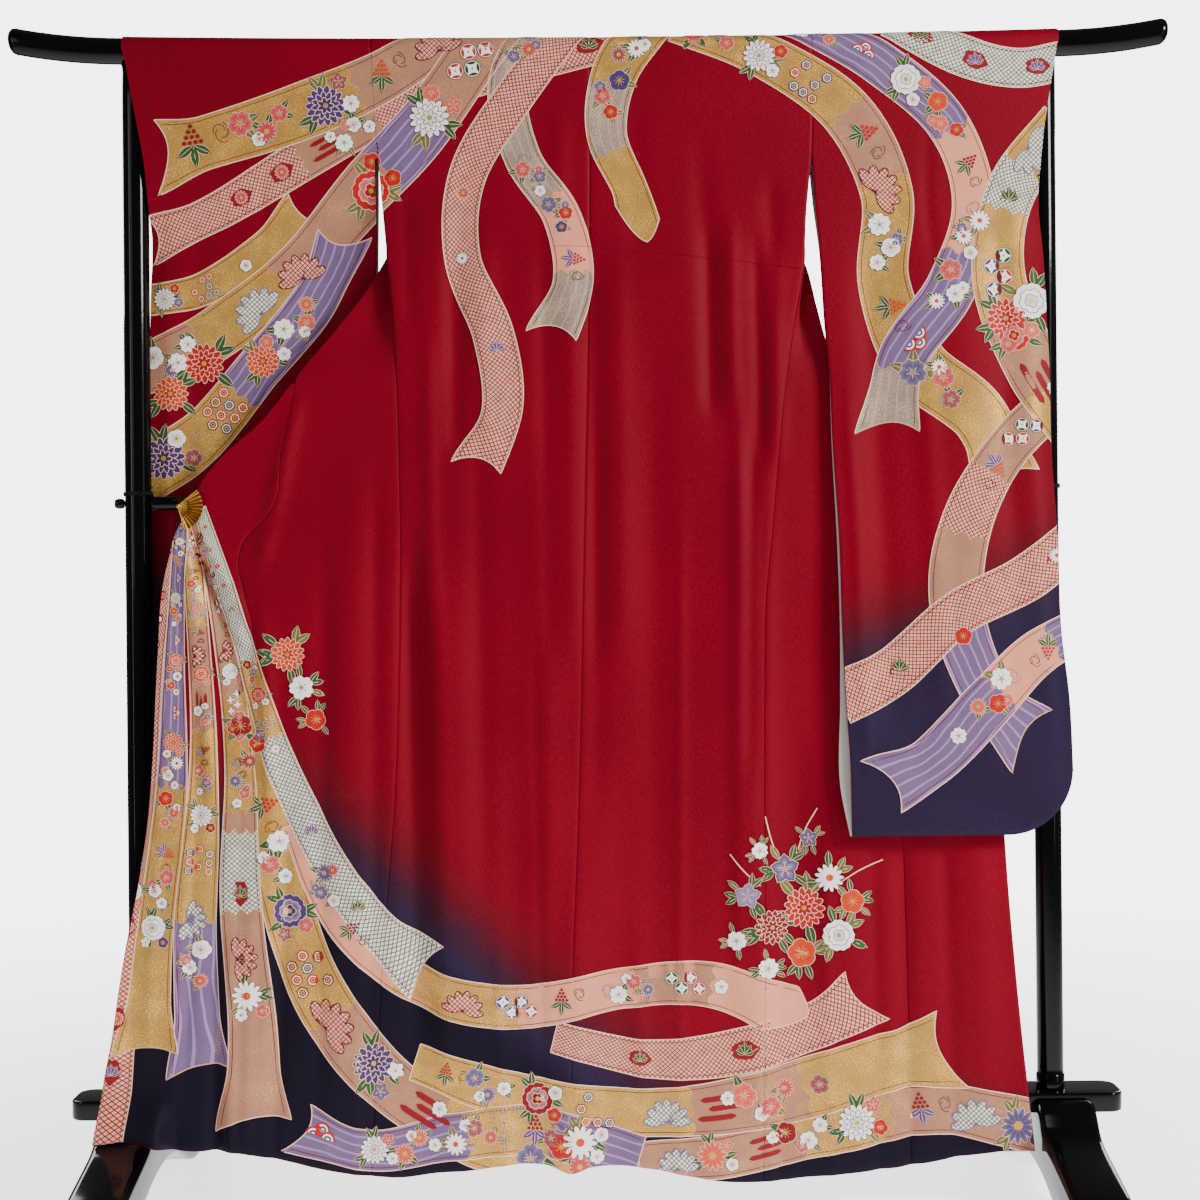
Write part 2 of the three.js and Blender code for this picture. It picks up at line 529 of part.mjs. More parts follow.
// The bar is a row of rings along X with rounded ends.
function barGeometry() {
  const sides = 16;
  const stations = [];
  const last = BAR.half;
  const roundings = [
    { back: 0, size: 0.45 }, { back: 2, size: 0.75 }, { back: 6, size: 0.94 }, { back: 12, size: 1 },
  ];
  for (const r of roundings) stations.push({ x: -last + r.back, size: r.size });
  const right = [220, 440, POST.x, BAR.upturnFrom, 740, 790];
  const left = [...right].reverse().map((x) => -x);
  for (const x of [...left, 0, ...right]) stations.push({ x, size: 1 });
  for (const r of [...roundings].reverse()) stations.push({ x: last - r.back, size: r.size });
  const vertices = [];
  for (const s of stations) {
    for (let i = 0; i < sides; i++) {
      const a = (i / sides) * 2 * Math.PI;
      const reach = BAR.radius * s.size;
      vertices.push(new THREE.Vector3(s.x, reach * Math.cos(a), barAxis(s.x) + reach * Math.sin(a)));
    }
  }
  const index = [];
  for (let s = 0; s < stations.length - 1; s++) {
    for (let i = 0; i < sides; i++) {
      const j = (i + 1) % sides;
      const [a, b, c, d] = [s * sides + i, s * sides + j, (s + 1) * sides + j, (s + 1) * sides + i];
      index.push(a, b, c, a, c, d);
    }
  }
  const end = (stations.length - 1) * sides;
  for (let i = 1; i < sides - 1; i++) {
    index.push(0, i + 1, i);
    index.push(end, end + i, end + i + 1);
  }
  const geometry = new THREE.BufferGeometry();
  geometry.setAttribute("position", positions(vertices));
  geometry.setIndex(outward(index, vertices));
  return geometry;
}

function lathe(profile, segments) {
  return new THREE.LatheGeometry(profile.map(([r, h]) => new THREE.Vector2(r, h)), segments);
}

// Posts stand on the low rail under the bar; each has a hole for the peg of its arm.
function postGeometry() {
  const bottom = RAIL.top + GAP;
  const top = barTop(POST.x - POST.radius) - 2 * BAR.radius - GAP;
  const collarTop = bottom + POST.collarHeight;
  const post = lathe([
    [0, bottom], [POST.collarRadius, bottom], [POST.collarRadius, collarTop],
    [POST.radius, collarTop + POST.chamfer], [POST.radius, top], [0, top],
  ], 20);
  post.rotateX(Math.PI / 2);
  const hole = new THREE.CylinderGeometry(ARM.pegRadius + GAP, ARM.pegRadius + GAP, 4 * POST.radius, 12);
  hole.rotateZ(Math.PI / 2);
  hole.translate(0, 0, ARM.z);
  return fromSolid(toSolid(post).subtract(toSolid(hole)));
}

function railGeometry() {
  const { corner, bevel } = RAIL;
  const shape = new THREE.Shape();
  const [x, y] = [RAIL.half, RAIL.depth / 2];
  shape.moveTo(-x + corner, -y);
  shape.lineTo(x - corner, -y);
  shape.absarc(x - corner, -y + corner, corner, -Math.PI / 2, 0, false);
  shape.absarc(x - corner, y - corner, corner, 0, Math.PI / 2, false);
  shape.absarc(-x + corner, y - corner, corner, Math.PI / 2, Math.PI, false);
  shape.absarc(-x + corner, -y + corner, corner, Math.PI, 1.5 * Math.PI, false);
  const rail = new THREE.ExtrudeGeometry(shape, {
    depth: RAIL.top - RAIL.bottom - 2 * bevel, bevelEnabled: true, bevelThickness: bevel, bevelSize: bevel,
    bevelOffset: -bevel, bevelSegments: 1, curveSegments: 4,
  });
  rail.translate(0, 0, RAIL.bottom + bevel);
  return rail;
}

// Side view of a foot: an arch on two pads, with a hump that has a notch for the rail.
// The table is the upper outline of one half, from the toe up to the hump.
const footTop = [
  { y: 285, z: 0 }, { y: 285, z: 36 }, { y: 277, z: 58 }, { y: 259, z: 70 }, { y: 219, z: 80 },
  { y: 165, z: 92 }, { y: 118, z: 102 }, { y: 91, z: 111 }, { y: 80, z: 124 }, { y: 71, z: 136 },
  { y: 60, z: 146 }, { y: 50, z: 150 },
];
function footGeometry() {
  const { reach, width, rounding, arch, pad, spring } = FOOT;
  const shape = new THREE.Shape();
  shape.moveTo(-reach, 0);
  shape.lineTo(-reach + pad, 0);
  shape.bezierCurveTo(-reach + pad + spring, 0, -arch.handle, arch.height, 0, arch.height);
  shape.bezierCurveTo(arch.handle, arch.height, reach - pad - spring, 0, reach - pad, 0);
  for (const { y, z } of footTop) shape.lineTo(y, z);
  for (const { y, z } of footTop.slice(1).reverse()) shape.lineTo(-y, z);
  const foot = new THREE.ExtrudeGeometry(shape, {
    depth: width - 2 * rounding, bevelEnabled: true, bevelThickness: rounding, bevelSize: rounding,
    bevelOffset: -rounding, bevelSegments: 3, curveSegments: 9,
  });
  foot.translate(0, 0, -width / 2 + rounding);
  foot.rotateY(Math.PI / 2);
  foot.rotateX(Math.PI / 2);
  const seat = RAIL.bottom - GAP;
  const notch = new THREE.BoxGeometry(2 * width, RAIL.depth + 2 * GAP, RAIL.depth);
  notch.translate(0, 0, seat + RAIL.depth / 2);
  return fromSolid(toSolid(foot).subtract(toSolid(notch)));
}

// An arm tied to the inner side of a post, with a peg into or through the post; side is -1 at the left.
// The profile runs outwards along the arm: radius, then distance from the middle of the stand.
function armGeometry(side, knob) {
  const shoulderAt = POST.x - POST.radius - 3 * GAP;
  const outer = POST.x + POST.radius;
  const r = ARM.radius;
  const profile = [[0, ARM.end], [r - ARM.chamfer, ARM.end], [r, ARM.end + ARM.chamfer], [r, shoulderAt]];
  profile.push([ARM.pegRadius, shoulderAt]);
  if (knob) {
    const k = ARM.knobRadius;
    profile.push([ARM.pegRadius, outer + 2], [k * 0.8, outer + 2], [k, outer + 5], [k, outer + 11],
      [k * 0.6, outer + 15], [0, outer + 16]);
  } else {
    profile.push([ARM.pegRadius, POST.x + ARM.pegPast], [0, POST.x + ARM.pegPast]);
  }
  const arm = lathe(profile, 16);
  arm.rotateZ(-side * Math.PI / 2);
  arm.translate(0, 0, ARM.z);
  return arm;
}

// The black cord wound round the post above the arm.
function tieGeometry() {
  const ring = lathe(evenly(8).map((t) => {
    const a = 2 * Math.PI * t;
    return [POST.radius + GAP + TIE.cord * (1 + Math.cos(a)), TIE.halfHeight * Math.sin(a)];
  }), 20);
  ring.rotateX(Math.PI / 2);
  ring.translate(0, 0, ARM.z + ARM.radius + TIE.lift);
  return ring;
}

// Ribbed fan: a flat sector whose front face rises and falls from rib to rib.
function fanGeometry() {
  const steps = FAN.ribs * 2;
  const vertices = [];
  for (let i = 0; i <= steps; i++) {
    const a = radians(lerp(FAN.from, FAN.to, i / steps));
    const ridge = i % 2 ? FAN.ridge : 0;
    for (const [r, lift] of [[FAN.hub, 0.3], [FAN.radius, 1]]) {
      const [x, z] = [r * Math.cos(a), r * Math.sin(a)];
      vertices.push(new THREE.Vector3(x, -FAN.thickness - ridge * lift, z), new THREE.Vector3(x, 0, z));
    }
  }
  const index = [];
  const quad = (a, b, c, d) => index.push(a, b, c, a, c, d);
  for (let i = 0; i < steps; i++) {
    const [a, b] = [4 * i, 4 * (i + 1)];
    quad(a, a + 2, b + 2, b);
    quad(a + 1, b + 1, b + 3, a + 3);
    quad(a + 2, a + 3, b + 3, b + 2);
    quad(a, b, b + 1, a + 1);
  }
  const end = 4 * steps;
  quad(0, 1, 3, 2);
  quad(end, end + 2, end + 3, end + 1);
  const geometry = new THREE.BufferGeometry();
  geometry.setAttribute("position", positions(vertices));
  geometry.setIndex(outward(index, vertices));
  return geometry;
}

// A clip: front and back jaw round the cloth's edge, joined outside it by a block against the arm's end.
const CLIP = { jawGap: 7.4, jaw: 2, reach: 24, height: 26, block: 6.5, belowArm: 6, behind: 6 };
const clipFront = (clothY) => clothY - CLIP.jawGap / 2;
function clipGeometry(side, clothY) {
  const outer = ARM.end - GAP;
  const blockFrom = outer - CLIP.block;
  const part = (fromX, toX, fromY, toY) => {
    const box = new THREE.BoxGeometry(toX - fromX, toY - fromY, CLIP.height);
    box.translate((side * (fromX + toX)) / 2, (fromY + toY) / 2, ARM.z - CLIP.belowArm);
    return toSolid(box);
  };
  const jaw = (y) => part(blockFrom - CLIP.reach, blockFrom + 1, y - CLIP.jaw / 2, y + CLIP.jaw / 2);
  const block = part(blockFrom, outer, clipFront(clothY) - CLIP.jaw / 2, CLIP.behind);
  return fromSolid(jaw(clipFront(clothY)).add(jaw(clothY + CLIP.jawGap / 2)).add(block));
}

// ---- Scene graph ----
const group = new THREE.Group();
function place(name, geometry, material, position = [0, 0, 0]) {
  const mesh = new THREE.Mesh(geometry, material);
  mesh.name = name;
  mesh.position.set(...position);
  group.add(mesh);
}

const bodyColumns = evenly(9);
const overlapColumns = evenly(5);
const collarLowest = 1050;
const overlapLeft = (z) => read(overlapSeamLeft, "z", "x", z);
const overlapRight = (z) => read(overlapSeamRight, "z", "x", z);
const edgeLeft = (z) => read(outerEdgeLeft, "z", "x", z);
const edgeRight = (z) => read(outerEdgeRight, "z", "x", z);
const limitLeft = (z) => (
  z > overlapTop.left ? edgeLeft(z) : Math.max(edgeLeft(z), overlapLeft(z)) + halfGap);
const limitRight = (z) => (
  z > overlapTop.right ? edgeRight(z) : Math.min(edgeRight(z), overlapRight(z)) - halfGap);

// Above the armpit the side edge of a front lies next to the sleeve, below it next to the back.
const armpit = 1361;
const frontSideLeft = (z) => sideLeft(z) + halfGap * (z > armpit ? 1 : -1);
const frontSideRight = (z) => sideRight(z) - halfGap * (z > armpit ? 1 : -1);

const cloth = {
  back_left: backGrid((z) => centre(z) - halfGap, (z) => sideLeft(z) + halfGap, bodyColumns),
  back_right: backGrid((z) => centre(z) + halfGap, (z) => sideRight(z) - halfGap, bodyColumns),
  front_left: frontGrid(-1, frontSideLeft, edgeLeft, limitLeft, bodyColumns),
  front_right: frontGrid(1, frontSideRight, edgeRight, limitRight, bodyColumns),
  okumi_left: overlapGrid((z) => overlapLeft(z) - halfGap, edgeLeft, overlapTop.left, overlapColumns),
  okumi_right: overlapGrid((z) => overlapRight(z) + halfGap, edgeRight, overlapTop.right, overlapColumns),
  collar_left: collarGrid(-1, edgeLeft, collarLowest, collarColumns),
  collar_right: collarGrid(1, edgeRight, collarLowest, collarColumns),
  sleeve_left_near: sleeveGrid(sleeveLeft, "near", -1),
  sleeve_left_far: sleeveGrid(sleeveLeft, "far", 5),
  sleeve_right_near: sleeveGrid(sleeveRight, "near", -3),
  sleeve_right_far: sleeveGrid(sleeveRight, "far", 3),
};
for (const [name, grid] of Object.entries(cloth)) place(name, wallGeometry(grid), clothFinish());

place("top_bar", barGeometry(), lacquer());
place("low_rail", railGeometry(), lacquer());
for (const [name, side] of [["left", -1], ["right", 1]]) {
  place(`post_${name}`, postGeometry(), lacquer(), [side * POST.x, 0, 0]);
  place(`foot_${name}`, footGeometry(), lacquer(), [side * FOOT.x, 0, 0]);
  place(`arm_${name}`, armGeometry(side, side < 0), lacquer());
  place(`tie_${name}`, tieGeometry(), lacquer(), [side * POST.x, 0, 0]);
}
const gripLeft = nearDepth(edgeLeft(ARM.z), ARM.z);
const gripRight = nearDepth(edgeRight(ARM.z), ARM.z);
place("clip_left", clipGeometry(-1, gripLeft), brass());
place("clip_right", clipGeometry(1, gripRight), lacquer());
place("fan_left", fanGeometry(), brass(), [FAN.x, clipFront(gripLeft) - CLIP.jaw / 2 - GAP, FAN.z]);

export default group;
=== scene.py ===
"""A furisode kimono spread over a lacquered stand: its silk, dyed bands, flowers, stand and studio.

Sizes are in millimetres, as a maker would give them, and turn into metres where a mesh is made.
"""

import math
import random

import bmesh
import bpy
import numpy as np
from mathutils import Matrix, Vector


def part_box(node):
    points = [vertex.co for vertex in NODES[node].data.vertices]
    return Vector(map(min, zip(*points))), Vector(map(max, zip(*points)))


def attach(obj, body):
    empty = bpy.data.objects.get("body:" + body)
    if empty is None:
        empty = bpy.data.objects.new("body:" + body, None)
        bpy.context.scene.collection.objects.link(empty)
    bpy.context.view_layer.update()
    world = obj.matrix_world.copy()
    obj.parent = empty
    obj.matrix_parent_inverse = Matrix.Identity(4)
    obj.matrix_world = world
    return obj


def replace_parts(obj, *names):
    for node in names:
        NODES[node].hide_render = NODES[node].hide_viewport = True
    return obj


bl_info = {
    "name": "Furisode on a stand",
    "version": (1, 0, 0),
    "blender": (4, 5, 0),
    "location": "View3D > Sidebar > Kimono",
    "description": "Builds the silk, the dyed bands and flowers, the stand and the studio",
    "category": "Object",
}

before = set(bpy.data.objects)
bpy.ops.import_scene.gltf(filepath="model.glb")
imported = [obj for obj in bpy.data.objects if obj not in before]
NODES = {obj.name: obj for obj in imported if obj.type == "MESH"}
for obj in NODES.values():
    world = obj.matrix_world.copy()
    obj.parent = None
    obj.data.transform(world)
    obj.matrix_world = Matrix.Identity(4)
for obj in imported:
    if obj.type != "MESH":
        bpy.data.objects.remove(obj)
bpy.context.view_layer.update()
MM = 0.001

# ---------------------------------------------------------------- sizes of the garment and the stand
WALL = 1.8
GAP = 0.3
HALF_GAP = 0.01
BAR_RADIUS = 19
BAR_HALF = 845
BAR_TOP_MIDDLE = 1693
BAR_TOP_AT_POSTS = 1700
BAR_UPTURN = 13.5
BAR_UPTURN_FROM = 690
CLOTH_RADIUS = BAR_RADIUS + GAP + WALL / 2
POST_X = 662
POST_RADIUS = 19
RAIL_TOP = 158
RAIL_BOTTOM = 130
RAIL_HALF = 761
RAIL_DEPTH = 76
RAIL_CORNER = 22
FOOT_X = 672
FOOT_WIDTH = 84
FOOT_REACH = 285
ARM_Z = 1021
ARM_RADIUS = 10
ARM_END = 597
FAN_X = -596
FAN_Z = 1015
FAN_RADIUS = 36
SIDES = (("left", -1), ("right", 1))
NECK_HALF = 88
ARMPIT = 1361
FLAT_BELOW = 1160
FLAT_ABOVE = 1275
TOP_ROW = 1664
HEM_ROWS_FROM = 300
FLAP_TOP = 1340
CHEST_LOW = 1440
RED_LINING_BELOW = 640

# How far the hanging cloth stands out from the bar's middle.
LEAN_TOP = 21.4
LEAN_HEM = 44
LEAN_LENGTH = 1640
LEAN_POWER = 1.6
FOOT_PUSH = 36

# Outlines, as rows of (height, x).
SIDE_LEFT = [
    (1700, -316), (1526, -306), (1435, -298.5), (1361, -292), (1268, -284), (1166, -280.5),
    (935, -277.5), (747, -281), (577, -288), (447, -299), (262, -312), (50, -323),
]
CENTRE = [(1700, 3), (1356, -1), (875, -14), (587, -22.5), (320, -34), (50, -38)]
SIDE_RIGHT = [
    (1700, 325), (1516, 322), (1429, 314), (1361, 310), (1263, 293.5), (1164, 279.5),
    (954, 258), (880, 250), (728, 245.5), (442, 242.5), (40, 237),
]
OVERLAP_LEFT = [
    (1205, -424), (1096, -447), (994, -473), (973, -496), (944, -510), (889, -503), (843, -491),
    (764, -493.5), (643, -503.5), (479, -511), (280, -520), (80, -531),
]
OVERLAP_RIGHT = [(1150, 392), (1050, 412), (900, 430), (526, 443), (298, 447), (50, 449)]
EDGE_LEFT = [
    (1700, -88), (1600, -155), (1500, -229), (1430, -272), (1361, -305), (1345, -314), (1275, -365),
    (1212, -417), (1134, -479), (1089, -530), (1050, -563), (1014, -579), (980, -599), (942, -610),
    (907, -618), (796, -627), (647, -635.5), (553, -643.5), (481, -655), (408, -668.5), (327, -682),
    (247, -693.5), (192, -704), (112, -711),
]
EDGE_RIGHT = [
    (1700, 94), (1600, 165), (1500, 236), (1430, 283), (1356, 316), (1295, 330), (1230, 348),
    (1180, 376), (1134, 412), (1089, 462), (1050, 518), (1014, 566), (942, 575), (858, 579),
    (700, 583), (532, 588), (296, 604), (84, 624),
]
# Height of the hem, as rows of (x, height).
HEM = [
    (-719, 112), (-644, 112), (-599, 95.5), (-531, 93), (-463, 81), (-394, 66.5), (-326, 57),
    (-281, 54), (-227, 60.5), (-168, 65.5), (-100, 70.5), (-68, 68), (-38, 58), (-9, 65.5),
    (36, 67), (82, 62.5), (128, 53), (173, 47), (237, 43.5), (289, 47.5), (360, 55.5),
    (449, 64.5), (517, 76.5), (574, 84.5), (624, 83.5),
]
# Soft folds: from (x, height) to (x, height), half width and depth; a trough is positive.
FOLDS = [
    (-262, 1000, -246, 330, 17, 10), (-205, 1000, -190, 120, 28, -8), (-120, 700, -98, 40, 30, 6),
    (-25, 520, -38, 40, 20, -5), (45, 700, 30, 40, 30, 5), (190, 1150, 178, 40, 34, -9),
    (290, 760, 292, 40, 24, 5), (352, 700, 366, 40, 30, -5), (440, 600, 449, 40, 14, 6),
    (545, 620, 560, 60, 26, -6), (-582, 1010, -514, 760, 11, 10), (-592, 1000, -548, 620, 12, -8),
    (-418, 1190, -470, 960, 14, -6), (-345, 1120, -360, 200, 26, -6), (-540, 420, -546, 90, 11, 7),
    (-520, 420, -524, 90, 11, -6), (-615, 820, -660, 100, 20, 6), (-430, 700, -440, 70, 28, 5),
]
# Fine creases that only the silk shows.
CREASES = [
    (-85, 900, -76, 120, 9, 2.4), (-62, 1180, -70, 500, 26, -4.0), (92, 1300, 84, 300, 24, 4.4),
    (130, 1080, 118, 80, 9, -2.4), (235, 1180, 226, 700, 12, 5.5), (214, 1250, 206, 420, 12, -3.8),
    (-165, 1250, -160, 560, 16, 3.4), (-236, 1300, -232, 900, 12, -3.4), (12, 1200, 4, 640, 16, 2.6),
    (-310, 1130, -318, 420, 13, 3.4), (-385, 1010, -398, 240, 15, 4.2), (-462, 900, -470, 300, 11, -3.4),
    (-560, 880, -586, 300, 10, 5.0), (-604, 900, -640, 300, 10, -4.4), (398, 560, 404, 60, 11, 3.6),
    (500, 620, 512, 80, 13, 4.2), (330, 620, 334, 70, 10, -2.8), (268, 500, 262, 60, 9, 2.8),
    (-330, 620, -345, 60, 10, -2.6), (-140, 420, -130, 60, 12, -3.2), (60, 420, 66, 60, 14, -2.8),
    (160, 1560, 178, 1180, 18, 3.0), (-180, 1560, -190, 1240, 20, 2.8), (-40, 1600, -46, 1400, 16, -2.2),
    (60, 1610, 70, 1420, 18, 2.2), (262, 1500, 268, 1300, 14, 2.8), (-266, 1480, -262, 1300, 12, 2.4),
    (-590, 985, -508, 800, 9, 6.5), (-574, 995, -498, 850, 9, -5.0), (-498, 880, -482, 620, 12, 5.0),
    (-536, 800, -548, 360, 12, 5.5), (-575, 700, -600, 240, 11, -4.6), (-648, 620, -676, 140, 10, 4.6),
    (-486, 560, -500, 140, 12, -4.4), (-455, 420, -462, 80, 10, 4.0), (248, 1090, 238, 560, 9, 3.0),
    (-266, 1020, -262, 330, 15, 6.0), (-226, 1000, -214, 300, 15, -5.0), (236, 1150, 232, 260, 24, -11.0),
    (185, 1150, 180, 200, 30, 5.5), (5, 1420, 4, 880, 13, 4.0), (42, 1420, 42, 880, 18, -3.5),
    (-68, 1450, -64, 880, 14, 3.5), (-28, 1450, -30, 880, 14, -3.0), (-200, 1430, -196, 1130, 15, 5.5),
    (-152, 1430, -150, 1130, 18, -4.0), (172, 1440, 172, 1190, 12, 4.5), (205, 1440, 205, 1190, 12, -4.0),
    (240, 1420, 244, 1120, 10, 4.0), (270, 1400, 268, 1120, 14, -5.0), (-440, 640, -452, 200, 13, 4.5),
    (-478, 900, -468, 640, 10, -4.0),
]
# Short level wrinkles: middle x and height, half length, half width and depth.
WRINKLES = [
    (-318, 648, 34, 6, 2.6), (-346, 588, 42, 6, 3.0), (-300, 528, 26, 5, 2.2), (-262, 1300, 30, 6, 2.4),
    (-248, 1262, 26, 6, 2.2), (236, 1290, 30, 6, 2.4), (-520, 905, 30, 6, 2.6), (-470, 1060, 34, 7, 2.6),
]
# Sections of a front where it turns round its side seam: height, depth at the edge and at the
# collar, direction in degrees and reach of the handles, and how far it bulges behind.
TURN_OUT = [
    (1700, 21.4, 21.4, 0, 70, -70, 0), (1620, 21.4, 24, 0, 95, 0, 5), (1570, 21.4, 28, 0, 110, 60, 9),
    (1526, 20, 31, 4, 115, 100, 12), (1480, 12, 32, 16, 105, 120, 15), (1430, 0, 24, 42, 90, 120, 17),
    (1395, -10, 11, 68, 72, 112, 18), (1361, -22, -3, 92, 50, 96, 14), (1330, -22, -9, 105, 34, 74, 10),
    (1295, -23, -14, 125, 26, 50, 6), (1250, -24, -19, 150, 30, 34, 2), (1205, -26, -24, 172, 40, 30, 0),
    (1160, -28, -28, 180, 60, 60, 0),
]
# Sleeves, as rows of (height, edge at the body, edge at the wrist, depth).
SLEEVES = {
    "left": {
        "side": -1,
        "near": [
            (1700, -316, -678, -21.4), (1561, -312, -653, -22), (1516, -310, -645, -22),
            (1460, -310, -642, -11), (1400, -311, -640, 4), (1345, -313, -644, 11),
            (1250, -313, -646.5, 13), (1100, -316, -646.5, 13.5), (900, -322, -646.5, 13.5),
            (535, -330, -646.5, 13),
        ],
        "far": [
            (1700, -316, -678, 21.4), (1561, -312, -653, 22), (1516, -310, -646, 22),
            (1460, -310, -642, 22), (1400, -311, -642, 22), (1345, -312, -643, 22),
            (1250, -314, -646.5, 21.8), (1100, -316, -646.5, 21.5), (900, -322, -646.5, 21.5),
            (535, -330, -646.5, 20.5),
        ],
        "puff": {"near": -1, "far": 5},
    },
    "right": {
        "side": 1,
        "near": [
            (1700, 325, 684, -21.4), (1516, 323.5, 656, -22), (1451, 327, 650, -26),
            (1377, 333, 655, -29), (1268, 339, 659, -36), (1205, 344, 661, -40),
            (1105, 347, 661, -44), (949, 355, 668, -53), (828, 357, 670, -60), (728, 361, 680, -64),
            (633, 366, 683, -69), (535, 367, 683, -74),
        ],
        "far": [
            (1700, 325, 684, 21.4), (1580, 324, 634, 21.4), (1516, 323.5, 632, 16),
            (1451, 327, 630, 2), (1377, 333, 650, -21.5), (1268, 339, 659, -29),
            (1205, 344, 661, -33), (1105, 346, 661, -37), (949, 352, 668, -46), (828, 354, 670, -53),
            (728, 353, 680, -57), (600, 352, 683, -62), (535, 364, 683, -67),
        ],
        "puff": {"near": -3, "far": 3},
    },
}
# Folds of the sleeves: share of the width, half width, depth, from height, to height.
SLEEVE_FOLDS = [
    (0.3, 0.1, 3.5, 1500, 560), (0.62, 0.12, -4, 1450, 560), (0.2, 0.07, 6.0, 1450, 640),
    (0.44, 0.05, -2.4, 1350, 640), (0.8, 0.05, 2.8, 1500, 800), (0.5, 0.03, 1.4, 1640, 1300),
    (0.92, 0.035, -2.4, 1380, 620), (0.08, 0.03, -2.2, 1250, 580),
]
SLEEVE_BOTTOM = 535
SLEEVE_LOW_FROM = 690
SLEEVE_FLAT_SHARE = 0.7
SEAM_END = 1516
CORNER_RADIUS = 95
COLLAR_WIDTH = 54
COLLAR_PROUD = 0.7
COLLAR_LOWEST = 1050
COLLAR_BEHIND = [(1640, 2), (1590, 7), (1500, 10), (1430, 16), (1395, 15), (1340, 8), (1230, 4)]
# Line of the tuck that is taken across the back, as rows of (x, height).
TUCK = [(-300, 1382), (-150, 1384), (-8, 1386), (60, 1380), (180, 1368), (318, 1350)]
# Where the red ends and the dark dye begins, as rows of (x, height).
DYE_BODY = [
    (-719, 330), (-640, 470), (-560, 560), (-480, 590), (-383, 560), (-281, 478), (-179, 390),
    (-48, 276), (60, 205), (157, 160), (303, 132), (449, 180), (560, 150), (640, 118),
]
DYE_SLEEVE = [(340, 800), (470, 840), (600, 905), (690, 940)]
DYE_SOFTNESS = 135


def lerp(a, b, t):
    return a + (b - a) * t


def unit(vectors):
    return vectors / np.maximum(np.linalg.norm(vectors, axis=-1, keepdims=True), 1e-9)


def circle(radius, count):
    return [(radius * math.cos(a), radius * math.sin(a)) for a in np.linspace(0, 2 * math.pi, count + 1)[:-1]]


def quads(ids):
    """Faces between neighbours in a table of point numbers."""
    return np.stack([ids[:-1, :-1], ids[:-1, 1:], ids[1:, 1:], ids[1:, :-1]], -1).reshape(-1, 4)


def flipped(faces):
    return faces[:, [0, 3, 2, 1]]


def ring_faces(count, sides, closed=False):
    """Faces between rings of points, with a cap on each open end."""
    faces = []
    for r in range(count if closed else count - 1):
        for i in range(sides):
            j, q = (i + 1) % sides, (r + 1) % count
            faces.append((r * sides + i, r * sides + j, q * sides + j, q * sides + i))
    if not closed:
        faces += [tuple(range(sides))[::-1], tuple((count - 1) * sides + i for i in range(sides))]
    return faces


def smooth(start, end, value):
    """0 at start, 1 at end, with a soft beginning and ending."""
    t = np.clip((value - start) / (end - start), 0, 1)
    return t * t * (3 - 2 * t)


def read(table, at, column=1):
    """A column of a table by its first column, as a smooth curve through its rows."""
    rows = sorted(table)
    keys = np.array([row[0] for row in rows], float)
    values = np.array([row[column] for row in rows], float)
    slopes = np.gradient(values, keys)
    at = np.clip(np.asarray(at, float), keys[0], keys[-1])
    low = np.clip(np.searchsorted(keys, at) - 1, 0, len(keys) - 2)
    step = keys[low + 1] - keys[low]
    t = (at - keys[low]) / step
    rise = values[low + 1] - values[low]
    start, finish = slopes[low] * step, slopes[low + 1] * step
    bend, twist = 3 * rise - 2 * start - finish, start + finish - 2 * rise
    return values[low] + t * start + t * t * bend + t**3 * twist


# ---------------------------------------------------------------- form of the cloth
def bar_axis(x):
    bow = (BAR_TOP_AT_POSTS - BAR_TOP_MIDDLE) * (x / POST_X) ** 2
    past = np.clip((np.abs(x) - BAR_UPTURN_FROM) / (BAR_HALF - BAR_UPTURN_FROM), 0, 1)
    return BAR_TOP_MIDDLE + bow + BAR_UPTURN * past**2 - BAR_RADIUS


def fold_sum(x, z):
    total = np.zeros(np.broadcast(x, z).shape)
    for x1, z1, x2, z2, width, depth in FOLDS + CREASES:
        along = (z1 - z) / (z1 - z2)
        fade = smooth(-0.02, 0.3, along) * (1 - smooth(1.0, 1.25, along))
        off = (x - lerp(x1, x2, along)) / width
        total = total + depth * fade * np.exp(-off * off)
    for x1, z1, reach, width, depth in WRINKLES:
        across = (z - z1 - 0.12 * (x - x1)) / width
        total = total + depth * np.exp(-(((x - x1) / reach) ** 2) - across * across)
    return total


# The seams and the height where each begins.
SEAM_LINES = [
    (SIDE_LEFT, 1360), (CENTRE, 1700), (SIDE_RIGHT, 1360), (OVERLAP_LEFT, 1190), (OVERLAP_RIGHT, 1140),
]
SEAM_DIP = 0.9
SEAM_HALF_WIDTH = 4


def near_depth(x, z):
    """Depth of the cloth that hangs down the near side."""
    drop = np.maximum(0, BAR_TOP_MIDDLE - z)
    low = smooth(185, 105, z) * smooth(-600, -628, x)
    depth = fold_sum(x, z) - LEAN_TOP - LEAN_HEM * (drop / LEAN_LENGTH) ** LEAN_POWER - FOOT_PUSH * low
    for seam, top in SEAM_LINES:
        off = (x - read(seam, z)) / SEAM_HALF_WIDTH
        depth = depth + SEAM_DIP * np.exp(-off * off) * (z < top)
    return depth


def over_bar(x, h, side, depth, radius=CLOTH_RADIUS):
    """Cloth at height h that hangs at the given depth, or h - axis along its arc over the bar."""
    axis = bar_axis(x)
    turn = np.clip((h - axis) / radius, 0, math.pi / 2)
    hanging = lerp(side * radius, depth, smooth(axis, axis - 50, h))
    y = np.where(h > axis, side * radius * np.cos(turn), hanging)
    z = np.where(h > axis, axis + radius * np.sin(turn), h)
    return np.stack(np.broadcast_arrays(x, y, z), -1)


